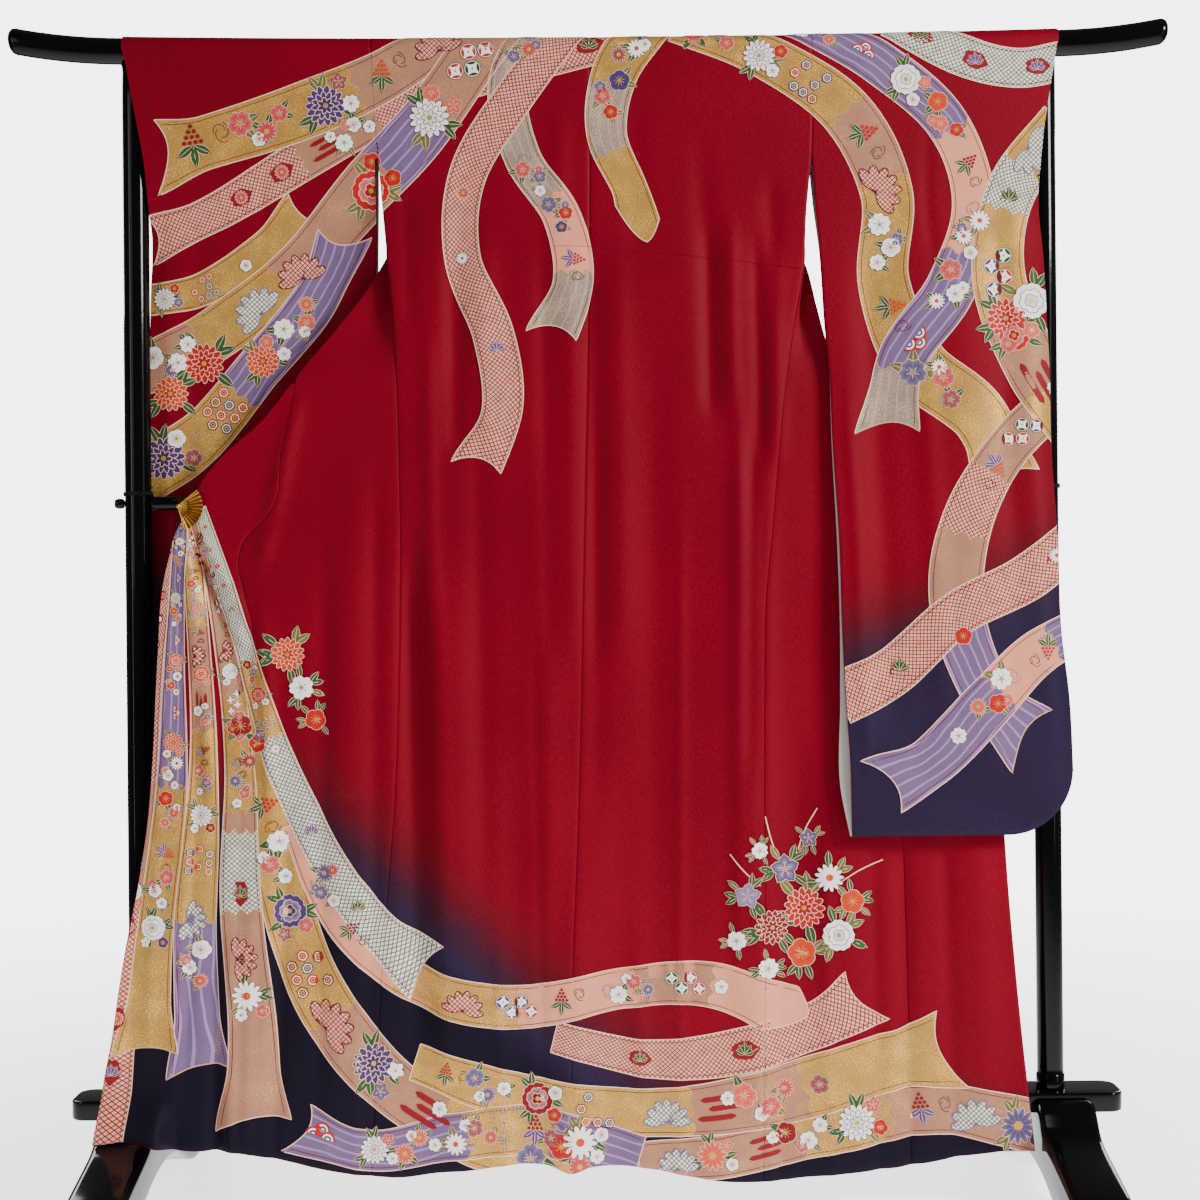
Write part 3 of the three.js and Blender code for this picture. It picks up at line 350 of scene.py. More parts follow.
def back_point(x, h):
    return over_bar(x, h, -1, near_depth(x, np.minimum(h, BAR_TOP_MIDDLE)))


def side_line(side):
    return SIDE_LEFT if side < 0 else SIDE_RIGHT


def edge_line(side):
    return EDGE_LEFT if side < 0 else EDGE_RIGHT


def bezier(p0, p1, p2, p3, t):
    u = 1 - t
    return u * u * u * p0 + 3 * u * u * t * p1 + 3 * u * t * t * p2 + t * t * t * p3


def turned_section(side, z, c):
    """x and depth of a turned front at share c between its side edge and the collar line."""
    edge_y, collar_y, leave, leave_by, arrive_by, bulge = (read(TURN_OUT, z, i) for i in range(1, 7))
    leave = np.radians(leave)
    shy = (HALF_GAP + WALL / 2) * np.abs(np.sin(leave)) * smooth(1440, 1361, z)
    start = read(side_line(side), z) - side * HALF_GAP * np.where(z > ARMPIT, 1, -1) + side * shy
    finish = read(edge_line(side), z)
    x = bezier(start, start - side * leave_by * np.cos(leave), finish - side * arrive_by, finish, c)
    y = bezier(edge_y, edge_y + leave_by * np.sin(leave), collar_y + bulge, collar_y, c)
    return x, y


def front_point(side):
    """The front's surface by x and height, for what is dyed on it."""
    def point(x, h):
        x, h = (np.array(a) for a in np.broadcast_arrays(np.asarray(x, float), np.asarray(h, float)))
        z = np.minimum(h, BAR_TOP_MIDDLE)
        depth = near_depth(x, z)
        bent = z > FLAT_BELOW
        if bent.any():
            bent_x, bent_z = x[bent], z[bent]
            low, high = np.where(bent_z < ARMPIT, 0.3, 0.0), np.ones(bent_x.shape)
            outward = np.where(bent_z < ARMPIT, side, -side)
            for _ in range(16):
                middle = (low + high) / 2
                short = (turned_section(side, bent_z, middle)[0] - bent_x) * outward < 0
                low, high = np.where(short, middle, low), np.where(short, high, middle)
            turned_depth = turned_section(side, bent_z, low)[1]
            depth[bent] = lerp(turned_depth, depth[bent], smooth(FLAT_ABOVE, FLAT_BELOW, bent_z))
        return over_bar(x, h, 1, depth)
    return point


def sleeve_floor(sleeve, x):
    """Height of the bottom edge of a sleeve, with its rounded outer corner."""
    outer = read(sleeve["near"], SLEEVE_BOTTOM, 2)
    into = np.clip(CORNER_RADIUS - np.abs(outer - x), 0, CORNER_RADIUS)
    return SLEEVE_BOTTOM + CORNER_RADIUS - np.sqrt(CORNER_RADIUS**2 - into**2)


def sleeve_inner(sleeve, layer, z):
    seam = read(side_line(sleeve["side"]), z) + sleeve["side"] * HALF_GAP
    return np.where(z >= SEAM_END, seam, read(sleeve[layer], z, 1))


def sleeve_point(sleeve, layer):
    away = -1 if layer == "near" else 1
    table, puff = sleeve[layer], sleeve["puff"][layer]

    def point(x, h):
        axis = bar_axis(x)
        z = np.minimum(h, axis)
        inner, outer = sleeve_inner(sleeve, layer, z), read(table, z, 2)
        share = (x - inner) / (outer - inner)
        y = read(table, z, 3)
        for across, width, depth, top, bottom in SLEEVE_FOLDS:
            fade = smooth(top, top - 200, z) * smooth(bottom, bottom + 120, z)
            y = y + depth * fade * np.exp(-(((share - across) / width) ** 2))
        puffed = smooth(1500, 1250, z) * smooth(SLEEVE_BOTTOM, SLEEVE_BOTTOM + 250, z)
        y = y + puff * puffed * 4 * share * (1 - share)
        middle = (read(sleeve["near"], z, 3) + read(sleeve["far"], z, 3)) / 2
        floor = sleeve_floor(sleeve, x)
        sewn_side = smooth(0.86, 1, share) * smooth(1460, 1360, z)
        sewn = np.maximum(sewn_side, np.clip(1 - (z - floor) / 82, 0, 1))
        y = lerp(y, middle + away * (WALL + GAP) / 2, sewn)
        return over_bar(x, h, away, y)
    return point


# ---------------------------------------------------------------- meshes
def new_object(name, mesh, materials):
    for material in materials:
        mesh.materials.append(material)
    piece = bpy.data.objects.new(name, mesh)
    bpy.context.scene.collection.objects.link(piece)
    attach(piece, "root")
    return piece


def mesh_of(name, vertices, faces, uv=None, index=None, dye_and_shade=None, paint=None, smooth_faces=True):
    """A mesh from arrays in millimetres, with a UV map and the attributes that materials read."""
    mesh = bpy.data.meshes.new(name)
    mesh.from_pydata((np.asarray(vertices, float) * MM).tolist(), [], [list(f) for f in faces])
    corners = np.empty(len(mesh.loops), int)
    mesh.loops.foreach_get("vertex_index", corners)
    if uv is not None:
        layer = mesh.uv_layers.new(name="cloth")
        layer.data.foreach_set("uv", (np.asarray(uv, float) * MM)[corners].ravel())
    if index is not None:
        mesh.polygons.foreach_set("material_index", np.asarray(index, int))
    if dye_and_shade is not None:
        mesh.attributes.new("dye_and_shade", "FLOAT", "POINT").data.foreach_set("value", np.asarray(dye_and_shade, float))
    if paint is not None:
        mesh.color_attributes.new("paint", "FLOAT_COLOR", "POINT").data.foreach_set(
            "color", np.asarray(paint, float).ravel())
    mesh.polygons.foreach_set("use_smooth", [smooth_faces] * len(mesh.polygons))
    mesh.update()
    return mesh


OUTER, LINING, TURNED = 0, 1, 2
EDGE_BULGE = 0.75


def cloth_piece(name, grid, uv, outer, dye_and_shade, free=(), red_below=0, lined=True):
    """A wall of lined silk round a grid of points. outer is 1 where cross(columns, rows) faces out,
    free names the edges that are turned edges, and red_below is where the red skirt lining ends."""
    rows, columns = grid.shape[:2]
    across, down = np.gradient(grid, axis=1), np.gradient(grid, axis=0)
    normals = unit(np.cross(across, down)) * outer
    vertices = [(grid + normals * WALL / 2).reshape(-1, 3), (grid - normals * WALL / 2).reshape(-1, 3)]
    ids = np.arange(rows * columns).reshape(rows, columns)
    seen, inside = quads(ids), quads(ids + ids.size)
    faces = [flipped(seen), inside] if outer < 0 else [seen, flipped(inside)]
    inner_kind = np.where(grid[:-1, :-1, 2].ravel() < red_below, TURNED, LINING if lined else OUTER)
    kinds = [np.full(len(seen), OUTER), inner_kind]
    flat_uv, flat_dye_and_shade = uv.reshape(-1, 2), dye_and_shade.ravel()
    uvs, dyes_and_shade = [flat_uv, flat_uv], [flat_dye_and_shade, flat_dye_and_shade]
    count = 2 * ids.size
    edges = {
        "top": (ids[0], -down[0]), "bottom": (ids[-1][::-1], down[-1][::-1]),
        "first": (ids[::-1, 0], -across[::-1, 0]), "last": (ids[:, -1], across[:, -1]),
    }
    for edge, (line, way) in edges.items():
        vertices.append(grid.reshape(-1, 3)[line] + unit(way) * (EDGE_BULGE if edge in free else 0.0))
        uvs.append(flat_uv[line])
        dyes_and_shade.append(flat_dye_and_shade[line] * (edge not in free))
        rim = np.arange(count, count + len(line))
        count += len(line)
        for one, two in ((line, rim), (rim, line + ids.size)):
            strip = np.stack([one[:-1], two[:-1], two[1:], one[1:]], -1)
            faces.append(strip if outer > 0 else strip[:, ::-1])
            kinds.append(np.full(len(strip), TURNED if edge in free else OUTER))
    mesh = mesh_of(name, *map(np.concatenate, (vertices, faces, uvs, kinds, dyes_and_shade)))
    return new_object(name, mesh, [material("crepe"), material("lining"), material("turned_lining")])


def arc_rows():
    """Ways along the bar from the top of its arc down to its axis."""
    return [("arc", (CLOTH_RADIUS * (math.pi / 2) - HALF_GAP) * t) for t in np.linspace(1, 0, 9)]


def body_rows(step):
    """Heights of the rows of a body panel; the last ones follow the hem as shares of the way to it."""
    hanging = [("level", z) for z in np.arange(TOP_ROW, HEM_ROWS_FROM, -step)]
    return arc_rows() + hanging + [("hem", t) for t in np.linspace(0, 1, int(240 / step) + 1)]


def body_grid(x_at, columns, step=11.0, lowest=0, from_height=None):
    """x and height of every point of a body panel. x_at gives x from the height and the column."""
    xs, hs = [], []
    for kind, value in body_rows(step):
        if from_height is not None and (kind == "arc" or (kind == "level" and value > from_height)):
            continue
        first = {"arc": BAR_TOP_MIDDLE, "level": value, "hem": lerp(HEM_ROWS_FROM, 60, value)}[kind]
        z = np.full(len(columns), float(first))
        for _ in range(2):
            x = x_at(z, columns)
            if kind == "arc":
                z = bar_axis(x) + value
                break
            if kind == "hem":
                z = lerp(HEM_ROWS_FROM, read(HEM, x), value)
        xs.append(x)
        hs.append(z)
    return np.array(xs), np.array(hs)


# Below the line this reaches 1, where the crepe shows its navy darkened as painted shade on the lower body and hem.
def dye_and_shade_body(x, z):
    edge = read(DYE_BODY, x)
    softness = lerp(DYE_SOFTNESS, 45, smooth(60, 260, x))
    return smooth(softness, -softness, z - edge)


def dye_sleeve(x, z):
    edge = read(DYE_SLEEVE, np.abs(x))
    # Sleeves stop at 0.8, the plain navy, short of the painted shade at 1.
    return 0.8 * smooth(110, -90, z - edge)


# ---------------------------------------------------------------- materials
MATERIALS = {}


def add(tree, kind, inputs=None, **settings):
    node = tree.nodes.new(kind)
    for key, value in settings.items():
        setattr(node, key, value)
    for key, value in (inputs or {}).items():
        if isinstance(value, bpy.types.NodeSocket):
            tree.links.new(value, node.inputs[key])
        else:
            node.inputs[key].default_value = value
    return node


def maths(tree, operation, a, b=0.0, clamp=False):
    return add(tree, "ShaderNodeMath", {0: a, 1: b}, operation=operation, use_clamp=clamp).outputs[0]


def times(tree, a, b):
    return maths(tree, "MULTIPLY", a, b)


def mix(tree, factor, a, b, mode="MIX"):
    node = add(tree, "ShaderNodeMix", {"Factor": factor}, data_type="RGBA", blend_type=mode)
    for socket, value in ((node.inputs[6], a), (node.inputs[7], b)):
        if isinstance(value, bpy.types.NodeSocket):
            tree.links.new(value, socket)
        else:
            socket.default_value = (*value, 1) if len(value) == 3 else value
    return node.outputs[2]


def noise(tree, coordinates, scale, detail=2.0, stretch=(1, 1, 1), rough=0.5):
    mapped = add(tree, "ShaderNodeMapping", {"Vector": coordinates, "Scale": stretch}).outputs[0]
    return add(tree, "ShaderNodeTexNoise",
               {"Vector": mapped, "Scale": scale, "Detail": detail, "Roughness": rough}).outputs[0]


def ramp(tree, factor, stops):
    """A colour ramp; a stop's colour may be one number, for a grey."""
    node = add(tree, "ShaderNodeValToRGB", {"Fac": factor})
    elements = node.color_ramp.elements
    while len(elements) < len(stops):
        elements.new(0.5)
    for element, (place, colour) in zip(elements, stops):
        element.position = place
        element.color = (*np.broadcast_to(colour, 3), 1)
    return node.outputs[0]


def toned(tree, base, factor, stops):
    """A colour darkened and lightened by a ramp."""
    return mix(tree, 1.0, base, ramp(tree, factor, stops), "MULTIPLY")


def new_material(name, roughness, **constants):
    made = bpy.data.materials.new(name)
    made.use_nodes = True
    tree = made.node_tree
    shader = tree.nodes["Principled BSDF"]
    shader.inputs["Roughness"].default_value = roughness
    for key, value in constants.items():
        shader.inputs[key.replace("_", " ")].default_value = value
    MATERIALS[name] = made
    return made, tree, shader


def finish(tree, shader, base, height, distance, strength=1.0):
    """Joins the colour and the relief to the shader."""
    node = add(tree, "ShaderNodeBump", {"Height": height, "Distance": distance, "Strength": strength})
    tree.links.new(node.outputs[0], shader.inputs["Normal"])
    tree.links.new(base, shader.inputs["Base Color"])


def vary_roughness(tree, shader, pattern, share, least):
    rough = maths(tree, "ADD", times(tree, pattern, share), least)
    tree.links.new(rough, shader.inputs["Roughness"])


def cloth_uv(tree):
    return add(tree, "ShaderNodeUVMap", uv_map="cloth").outputs[0]


def crepe_grain(tree, where):
    """Fine crinkle of crepe silk: long grains along the warp, broken across it."""
    fine = noise(tree, where, 1.0, 3, (1500, 330, 1))
    broad = noise(tree, where, 1.0, 2, (420, 120, 1))
    return maths(tree, "ADD", times(tree, fine, 0.7), times(tree, broad, 0.3))


def shade(colour, factor):
    return tuple(min(1.0, channel * factor) for channel in colour)


def make_crepe(name, colours, dyed):
    settings = bpy.context.scene.kimono
    _, tree, shader = new_material(name, 0.56, Sheen_Weight=0.02, Sheen_Roughness=0.4,
                                   Specular_IOR_Level=0.06, Sheen_Tint=(1.0, 0.35, 0.42, 1))
    where = cloth_uv(tree)
    grain = crepe_grain(tree, where)
    base = colours[0]
    if dyed:
        amount = add(tree, "ShaderNodeAttribute", attribute_name="dye_and_shade").outputs["Fac"]
        wander = times(tree, maths(tree, "SUBTRACT", noise(tree, where, 9.0, 3), 0.5), 0.30)
        rest = maths(tree, "SUBTRACT", 1.0, amount)
        near_edge = times(tree, times(tree, amount, rest), 4.0)
        amount = maths(tree, "ADD", amount, times(tree, wander, near_edge), clamp=True)
        # The ramp runs red, wine, plum and navy at 0.8. Its last stop is the same navy darkened to 0.36. That stop is
        # painted shade on the lower body and hem, which reach 1; the sleeves stop at 0.8.
        base = ramp(tree, amount, list(zip((0.0, 0.3, 0.55, 0.8, 1.0), (*colours, shade(colours[3], 0.36)))))
    cloudy = noise(tree, where, 3.2, 2)
    base = toned(tree, base, cloudy, [(0.3, 0.88), (0.7, (1.08, 1.05, 1.05))])
    base = toned(tree, base, grain, [(0.36, (0.74, 0.72, 0.72)), (0.64, 1.26)])
    vary_roughness(tree, shader, grain, 0.18, 0.46)
    finish(tree, shader, base, grain, 0.00045 * settings.grain)
    return MATERIALS[name]


def make_lining():
    _, tree, shader = new_material("lining", 0.5, Sheen_Weight=0.05, Specular_IOR_Level=0.2)
    where = cloth_uv(tree)
    weave = noise(tree, where, 1.0, 2, (1900, 1900, 1))
    soft = noise(tree, where, 6.0, 2)
    settings = bpy.context.scene.kimono
    base = mix(tree, soft, shade(settings.lining[:3], 0.88), shade(settings.lining[:3], 1.08))
    finish(tree, shader, base, weave, 0.0001)


def lattice(tree, where, size):
    """Distance to the middle of the cell in a square lattice that is turned by 45 degrees."""
    turn = {"Vector": where, "Rotation": (0, 0, math.pi / 4), "Scale": (1 / size, 1 / size, 1)}
    parts = add(tree, "ShaderNodeSeparateXYZ", {0: add(tree, "ShaderNodeMapping", turn).outputs[0]})
    sides = [maths(tree, "ABSOLUTE", maths(tree, "SUBTRACT", maths(tree, "FRACT", parts.outputs[i]), 0.5))
             for i in (0, 1)]
    return maths(tree, "MAXIMUM", *sides)


DOT_SPACING = 0.0050


def make_shibori(name, ground, dot):
    """Rows of small tied dots: a pale square with a coloured heart in each cell."""
    _, tree, shader = new_material(name, 0.62, Sheen_Weight=0.02, Specular_IOR_Level=0.07)
    where = cloth_uv(tree)
    moved = add(tree, "ShaderNodeTexNoise", {"Vector": where, "Scale": 130.0, "Detail": 1.0}).outputs["Color"]
    for operation, inputs in (("SUBTRACT", {1: (0.5, 0.5, 0.5)}), ("SCALE", {"Scale": 0.0012}), ("ADD", {1: where})):
        moved = add(tree, "ShaderNodeVectorMath", {0: moved, **inputs}, operation=operation).outputs[0]
    reach = lattice(tree, moved, DOT_SPACING)
    body = ramp(tree, reach, [(0.02, 0.35), (0.08, 1), (0.33, 1), (0.40, 0)])
    patchy = ramp(tree, noise(tree, where, 60.0, 2), [(0.3, 0.78), (0.6, 1)])
    base = mix(tree, 1.0, mix(tree, body, ground, dot), patchy, "MULTIPLY")
    finish(tree, shader, base, body, 0.0004)


def make_gold():
    """Gold leaf and dust on a yellow ground."""
    settings = bpy.context.scene.kimono
    gold = settings.gold[:3]
    _, tree, shader = new_material("gold_band", 0.42, Metallic=0.3, Specular_IOR_Level=0.2)
    where = cloth_uv(tree)
    fleck = noise(tree, where, 420.0, 4, rough=0.7)
    cloud = noise(tree, where, 26.0, 3)
    dust = maths(tree, "GREATER_THAN", maths(tree, "ADD", fleck, times(tree, cloud, 0.35)), 0.74)
    base = mix(tree, cloud, shade(gold, 0.80), shade(gold, 1.12))
    base = mix(tree, dust, base, shade(gold, 1.65))
    base = mix(tree, maths(tree, "GREATER_THAN", noise(tree, where, 520.0, 3), 0.63), base, shade(gold, 0.55))
    vary_roughness(tree, shader, fleck, -0.25, 0.55)
    finish(tree, shader, base, fleck, 0.0003)


def make_dusted(name, ground, dust_colour, amount, stripe=0.0):
    """A plain dyed band with clouds of metal dust, and faint flowing lines where stripe is above 0."""
    _, tree, shader = new_material(name, 0.58, Sheen_Weight=0.02, Specular_IOR_Level=0.07)
    where = cloth_uv(tree)
    grain = crepe_grain(tree, where)
    cloud = noise(tree, where, 22.0, 3)
    fleck = noise(tree, where, 560.0, 3, rough=0.7)
    threshold = maths(tree, "SUBTRACT", amount, times(tree, cloud, 0.35))
    dust = maths(tree, "GREATER_THAN", fleck, threshold)
    base = mix(tree, cloud, shade(ground, 0.82), shade(ground, 1.14))
    if stripe > 0:
        bent = add(tree, "ShaderNodeTexWave",
                   {"Vector": where, "Scale": 24.0, "Distortion": 5.0, "Detail": 2.0, "Detail Scale": 0.35},
                   bands_direction="Y").outputs["Fac"]
        lines = ramp(tree, bent, [(0.0, 0), (0.86, 0), (0.93, 1), (1.0, 1)])
        base = mix(tree, times(tree, lines, stripe), base, shade(ground, 2.1))
    base = mix(tree, dust, base, dust_colour)
    base = toned(tree, base, grain, [(0.35, 0.86), (0.65, 1.12)])
    finish(tree, shader, base, grain, 0.0004)


def make_painted(name, roughness, metallic, relief):
    """Hand-dyed or embroidered motifs, coloured by the mesh, with the silk's grain through them."""
    _, tree, shader = new_material(name, roughness, Metallic=metallic, Specular_IOR_Level=0.13)
    where = cloth_uv(tree)
    colour = add(tree, "ShaderNodeAttribute", attribute_name="paint").outputs["Color"]
    grain = noise(tree, where, 1.0, 3, (900, 700, 1))
    base = toned(tree, colour, grain, [(0.3, 0.84), (0.65, 1.1)])
    finish(tree, shader, base, grain, relief)


def object_place(tree):
    return add(tree, "ShaderNodeTexCoord").outputs["Object"]


def make_lacquer():
    settings = bpy.context.scene.kimono
    _, tree, shader = new_material("lacquer", 0.09, Specular_IOR_Level=0.16)
    where = object_place(tree)
    depth = noise(tree, where, 9.0, 3)
    base = mix(tree, depth, shade(settings.lacquer[:3], 0.7), shade(settings.lacquer[:3], 1.5))
    smear = noise(tree, where, 5.0, 4, (1, 1, 0.3))
    vary_roughness(tree, shader, smear, 0.10, 0.05)
    finish(tree, shader, base, noise(tree, where, 30.0, 2), 0.00025, 0.6)


def make_gilt(name="gilt", tone=1.0):
    settings = bpy.context.scene.kimono
    _, tree, shader = new_material(name, 0.3, Metallic=1.0)
    where = object_place(tree)
    tarnish = noise(tree, where, 60.0, 4)
    base = mix(tree, tarnish, shade(settings.gold[:3], 0.8 * tone), shade(settings.gold[:3], 1.5 * tone))
    vary_roughness(tree, shader, tarnish, 0.25, 0.2)
    finish(tree, shader, base, noise(tree, where, 500.0, 2), 0.00012)


def make_cord():
    _, tree, shader = new_material("cord", 0.7, Specular_IOR_Level=0.1)
    where = object_place(tree)
    strands = add(tree, "ShaderNodeTexWave", {"Vector": where, "Scale": 260.0, "Distortion": 1.5},
                  bands_direction="DIAGONAL").outputs["Fac"]
    base = mix(tree, strands, (0.002, 0.002, 0.0025), (0.009, 0.009, 0.010))
    finish(tree, shader, base, strands, 0.0003)


AMBIENT = 0.15
SEEN_WHITE = 5.0
FLOOR_RADIUS = 3.2


def make_floor():
    """Pale floor that is clear past a few steps, where the white surroundings take over."""
    _, tree, shader = new_material("floor", 0.8, Specular_IOR_Level=0.1, Emission_Strength=2.0)
    where = object_place(tree)
    base = mix(tree, noise(tree, where, 1.5, 2), (0.84, 0.84, 0.83), (0.88, 0.88, 0.87))
    tree.links.new(base, shader.inputs["Base Color"])
    shader.inputs["Emission Color"].default_value = (0.98, 0.98, 1.0, 1)
    distance = add(tree, "ShaderNodeVectorMath", {"Vector": where}, operation="LENGTH").outputs["Value"]
    share = ramp(tree, times(tree, distance, 1 / FLOOR_RADIUS), [(0.3, 1), (0.95, 0)])
    tree.links.new(share, shader.inputs["Alpha"])


# Ground and dot of the tied finishes; ground, dust, amount of dust and stripes of the plain ones.
SHIBORI = {
    "dots_on_red": ((0.30, 0.008, 0.014), (0.76, 0.42, 0.31)),
    "dots_on_grey": ((0.12, 0.13, 0.12), (0.84, 0.77, 0.62)),
}
DUSTED = {
    "mauve_band": ((0.37, 0.165, 0.10), (0.62, 0.36, 0.12), 0.80),
    "lavender_band": ((0.155, 0.095, 0.19), (0.40, 0.28, 0.26), 0.88, 0.9),
    "pink_band": ((0.72, 0.27, 0.17), (0.66, 0.38, 0.14), 0.86),
    "silver_band": ((0.27, 0.19, 0.15), (0.55, 0.42, 0.26), 0.74, 0.3),
}


def material(name):
    """A finish by its name, made when it is first asked for."""
    if name in MATERIALS:
        return MATERIALS[name]
    settings = bpy.context.scene.kimono
    dyes_and_shade = [tuple(c)[:3] for c in (settings.red, settings.wine, settings.plum, settings.navy)]
    makers = {
        "crepe": lambda: make_crepe("crepe", dyes_and_shade, True),
        "turned_lining": lambda: make_crepe("turned_lining", [shade(dyes_and_shade[0], 1.05)], False),
        "lining": make_lining,
        "gold_band": make_gold,
        "painted": lambda: make_painted("painted", 0.55, 0.0, 0.0004),
        "gold_thread": lambda: make_painted("gold_thread", 0.4, 0.45, 0.0004),
        "lacquer": make_lacquer,
        "gilt": make_gilt,
        "dark_gilt": lambda: make_gilt("dark_gilt", 0.12),
        "cord": make_cord,
        "floor": make_floor,
    }
    if name in SHIBORI:
        make_shibori(name, *SHIBORI[name])
    elif name in DUSTED:
        make_dusted(name, *DUSTED[name])
    else:
        makers[name]()
    return MATERIALS[name]


# ---------------------------------------------------------------- laying flat shapes on the cloth
class Surface:
    """A side of the cloth that can be dyed: points by x and height, its limits, and which way it faces."""

    def __init__(self, point, left, right, top, low, facing):
        self.point, self.facing = point, facing
        self.left, self.right, self.top, self.low = left, right, top, low

    def inside(self, x, h):
        held = np.clip(x, self.left(h), self.right(h))
        return (x > self.left(h)) & (x < self.right(h)) & (h > self.low(held)) & (h < self.top(held))

    def lay(self, x, h, lift):
        """Points of the cloth's outer face, raised by lift and held inside the limits."""
        x = np.clip(x, self.left(h) + 0.2, self.right(h) - 0.2)
        h = np.clip(h, self.low(x), self.top(x))
        across = self.point(x + 1, h) - self.point(x - 1, h)
        up = self.point(x, h + 1) - self.point(x, h - 1)
        normal = unit(np.cross(across, up))
        normal *= np.where(self.facing * normal[..., 1] < 0, -1, 1)[..., None]
        return self.point(x, h) + normal * (WALL / 2 + lift)[..., None]


def bar_top(x):
    return bar_axis(x) + CLOTH_RADIUS * (math.pi / 2) - 1


def make_surfaces():
    """The surfaces of the body and of the sleeves, by the side of the garment on which a band lies."""
    def curve(table):
        return lambda at: read(table, at)

    def level(height):
        return lambda x: np.full(np.shape(x), float(height))

    hem = curve(HEM)
    left, right = curve(SIDE_LEFT), curve(SIDE_RIGHT)
    left_edge, right_edge = curve(EDGE_LEFT), curve(EDGE_RIGHT)
    back = Surface(back_point, left, right, bar_top, hem, -1)
    flaps = [Surface(front_point(-1), left_edge, left, level(FLAP_TOP), hem, -1),
             Surface(front_point(1), right, right_edge, level(FLAP_TOP), hem, -1)]
    chests = [Surface(front_point(-1), left, left_edge, bar_top, level(CHEST_LOW), 1),
              Surface(front_point(1), right_edge, right, bar_top, level(CHEST_LOW), 1)]
    sleeves = {"near": [], "far": []}
    for sleeve in SLEEVES.values():
        for layer, found in sleeves.items():
            limits = [lambda h, s=sleeve, k=layer: sleeve_inner(s, k, np.minimum(h, BAR_TOP_MIDDLE)),
                      lambda h, s=sleeve, k=layer: read(s[k], np.minimum(h, BAR_TOP_MIDDLE), 2)]
            found.append(Surface(sleeve_point(sleeve, layer), *limits[::sleeve["side"]], bar_top,
                                 lambda x, s=sleeve: sleeve_floor(s, x), -1 if layer == "near" else 1))
    return {
        "body": {"upper": [back], "skirt": [back, *flaps], "far": chests},
        "sleeves": {"upper": sleeves["near"], "skirt": [], "far": sleeves["far"]},
    }


class Stencil:
    """Flat shapes by x and height, each with a lift and a colour or a place along its band."""

    def __init__(self):
        self.parts = {}

    def add(self, on, kind, points, faces, lift, uv=None, paint=None):
        self.parts.setdefault((on, kind), []).append((
            np.asarray(points, float), np.asarray(faces, int), np.full(len(points), float(lift)),
            np.asarray(points if uv is None else uv, float),
            np.ones((len(points), 4)) if paint is None else np.asarray(paint, float)))

    def fan(self, on, kind, outline, centre, lift, inner, outer, rings):
        """A filled outline in rings round its centre, so that it bends with the folds."""
        outline, centre = np.asarray(outline, float), np.asarray(centre, float)
        n = len(outline)
        shares = [(i + 1) / rings for i in range(rings)]
        points = np.concatenate([[centre]] + [centre + (outline - centre) * s for s in shares])
        colours = [np.array([[*inner, 1]])] + [
            np.repeat([[*lerp(np.array(inner), np.array(outer), s), 1]], n, 0) for s in shares]
        faces = [(0, 1 + i, 1 + (i + 1) % n, 1 + (i + 1) % n) for i in range(n)]
        for r in range(rings - 1):
            a, b = 1 + r * n, 1 + (r + 1) * n
            faces += [(a + i, b + i, b + (i + 1) % n, a + (i + 1) % n) for i in range(n)]
        self.add(on, kind, points, faces, lift, paint=np.concatenate(colours))

    def line(self, on, route, width, lift, colour):
        """A thin painted strip along a route."""
        route = np.asarray(route, float)
        way = unit(np.gradient(route, axis=0))
        side = np.stack([-way[:, 1], way[:, 0]], 1) * np.reshape(width, (-1, 1)) / 2
        points = np.concatenate([route - side, route + side])
        n = len(route)
        faces = [(i, i + 1, n + i + 1, n + i) for i in range(n - 1)]
        self.add(on, "painted", points, faces, lift, paint=np.repeat([[*colour, 1]], 2 * n, 0))

    def build(self, surfaces, kinds, name):
        """One mesh of everything of these kinds, laid on the surfaces that it reaches."""
        vertices, faces, uvs, paints, index, count = [], [], [], [], [], 0
        for (on, kind), parts in self.parts.items():
            if kind not in kinds:
                continue
            sizes = np.cumsum([0] + [len(p[0]) for p in parts])
            points, lift, uv, paint = (np.concatenate([p[i] for p in parts]) for i in (0, 2, 3, 4))
            table = np.concatenate([p[1] + sizes[i] for i, p in enumerate(parts)])
            for surface in surfaces[on]:
                inside = surface.inside(points[:, 0], points[:, 1])
                kept = table[inside[table].any(axis=1)]
                if not len(kept):
                    continue
                used, local = np.unique(kept, return_inverse=True)
                place = surface.lay(points[used, 0], points[used, 1], lift[used])
                local = local.reshape(kept.shape)
                corners = place[local]
                facing = np.cross(corners[:, 1] - corners[:, 0], corners[:, 2] - corners[:, 0])
                area = np.linalg.norm(facing, axis=1)
                good = area > 0.02
                local, facing = local[good], facing[good]
                turned = facing[:, 1] * surface.facing < 0
                local[turned] = local[turned][:, ::-1]
                vertices.append(place)
                uvs.append(uv[used])
                paints.append(paint[used])
                faces += [tuple(dict.fromkeys(f)) for f in (local + count).tolist()]
                index += [kinds.index(kind)] * len(local)
                count += len(used)
        keep = [i for i, f in enumerate(faces) if len(f) > 2]
        mesh = mesh_of(name, np.concatenate(vertices), [faces[i] for i in keep], np.concatenate(uvs),
                       [index[i] for i in keep], paint=np.concatenate(paints))
        bm = bmesh.new()
        bm.from_mesh(mesh)
        bmesh.ops.delete(bm, geom=[v for v in bm.verts if not v.link_faces], context="VERTS")
        bm.to_mesh(mesh)
        bm.free()
        return new_object(name, mesh, [material(kind) for kind in kinds])


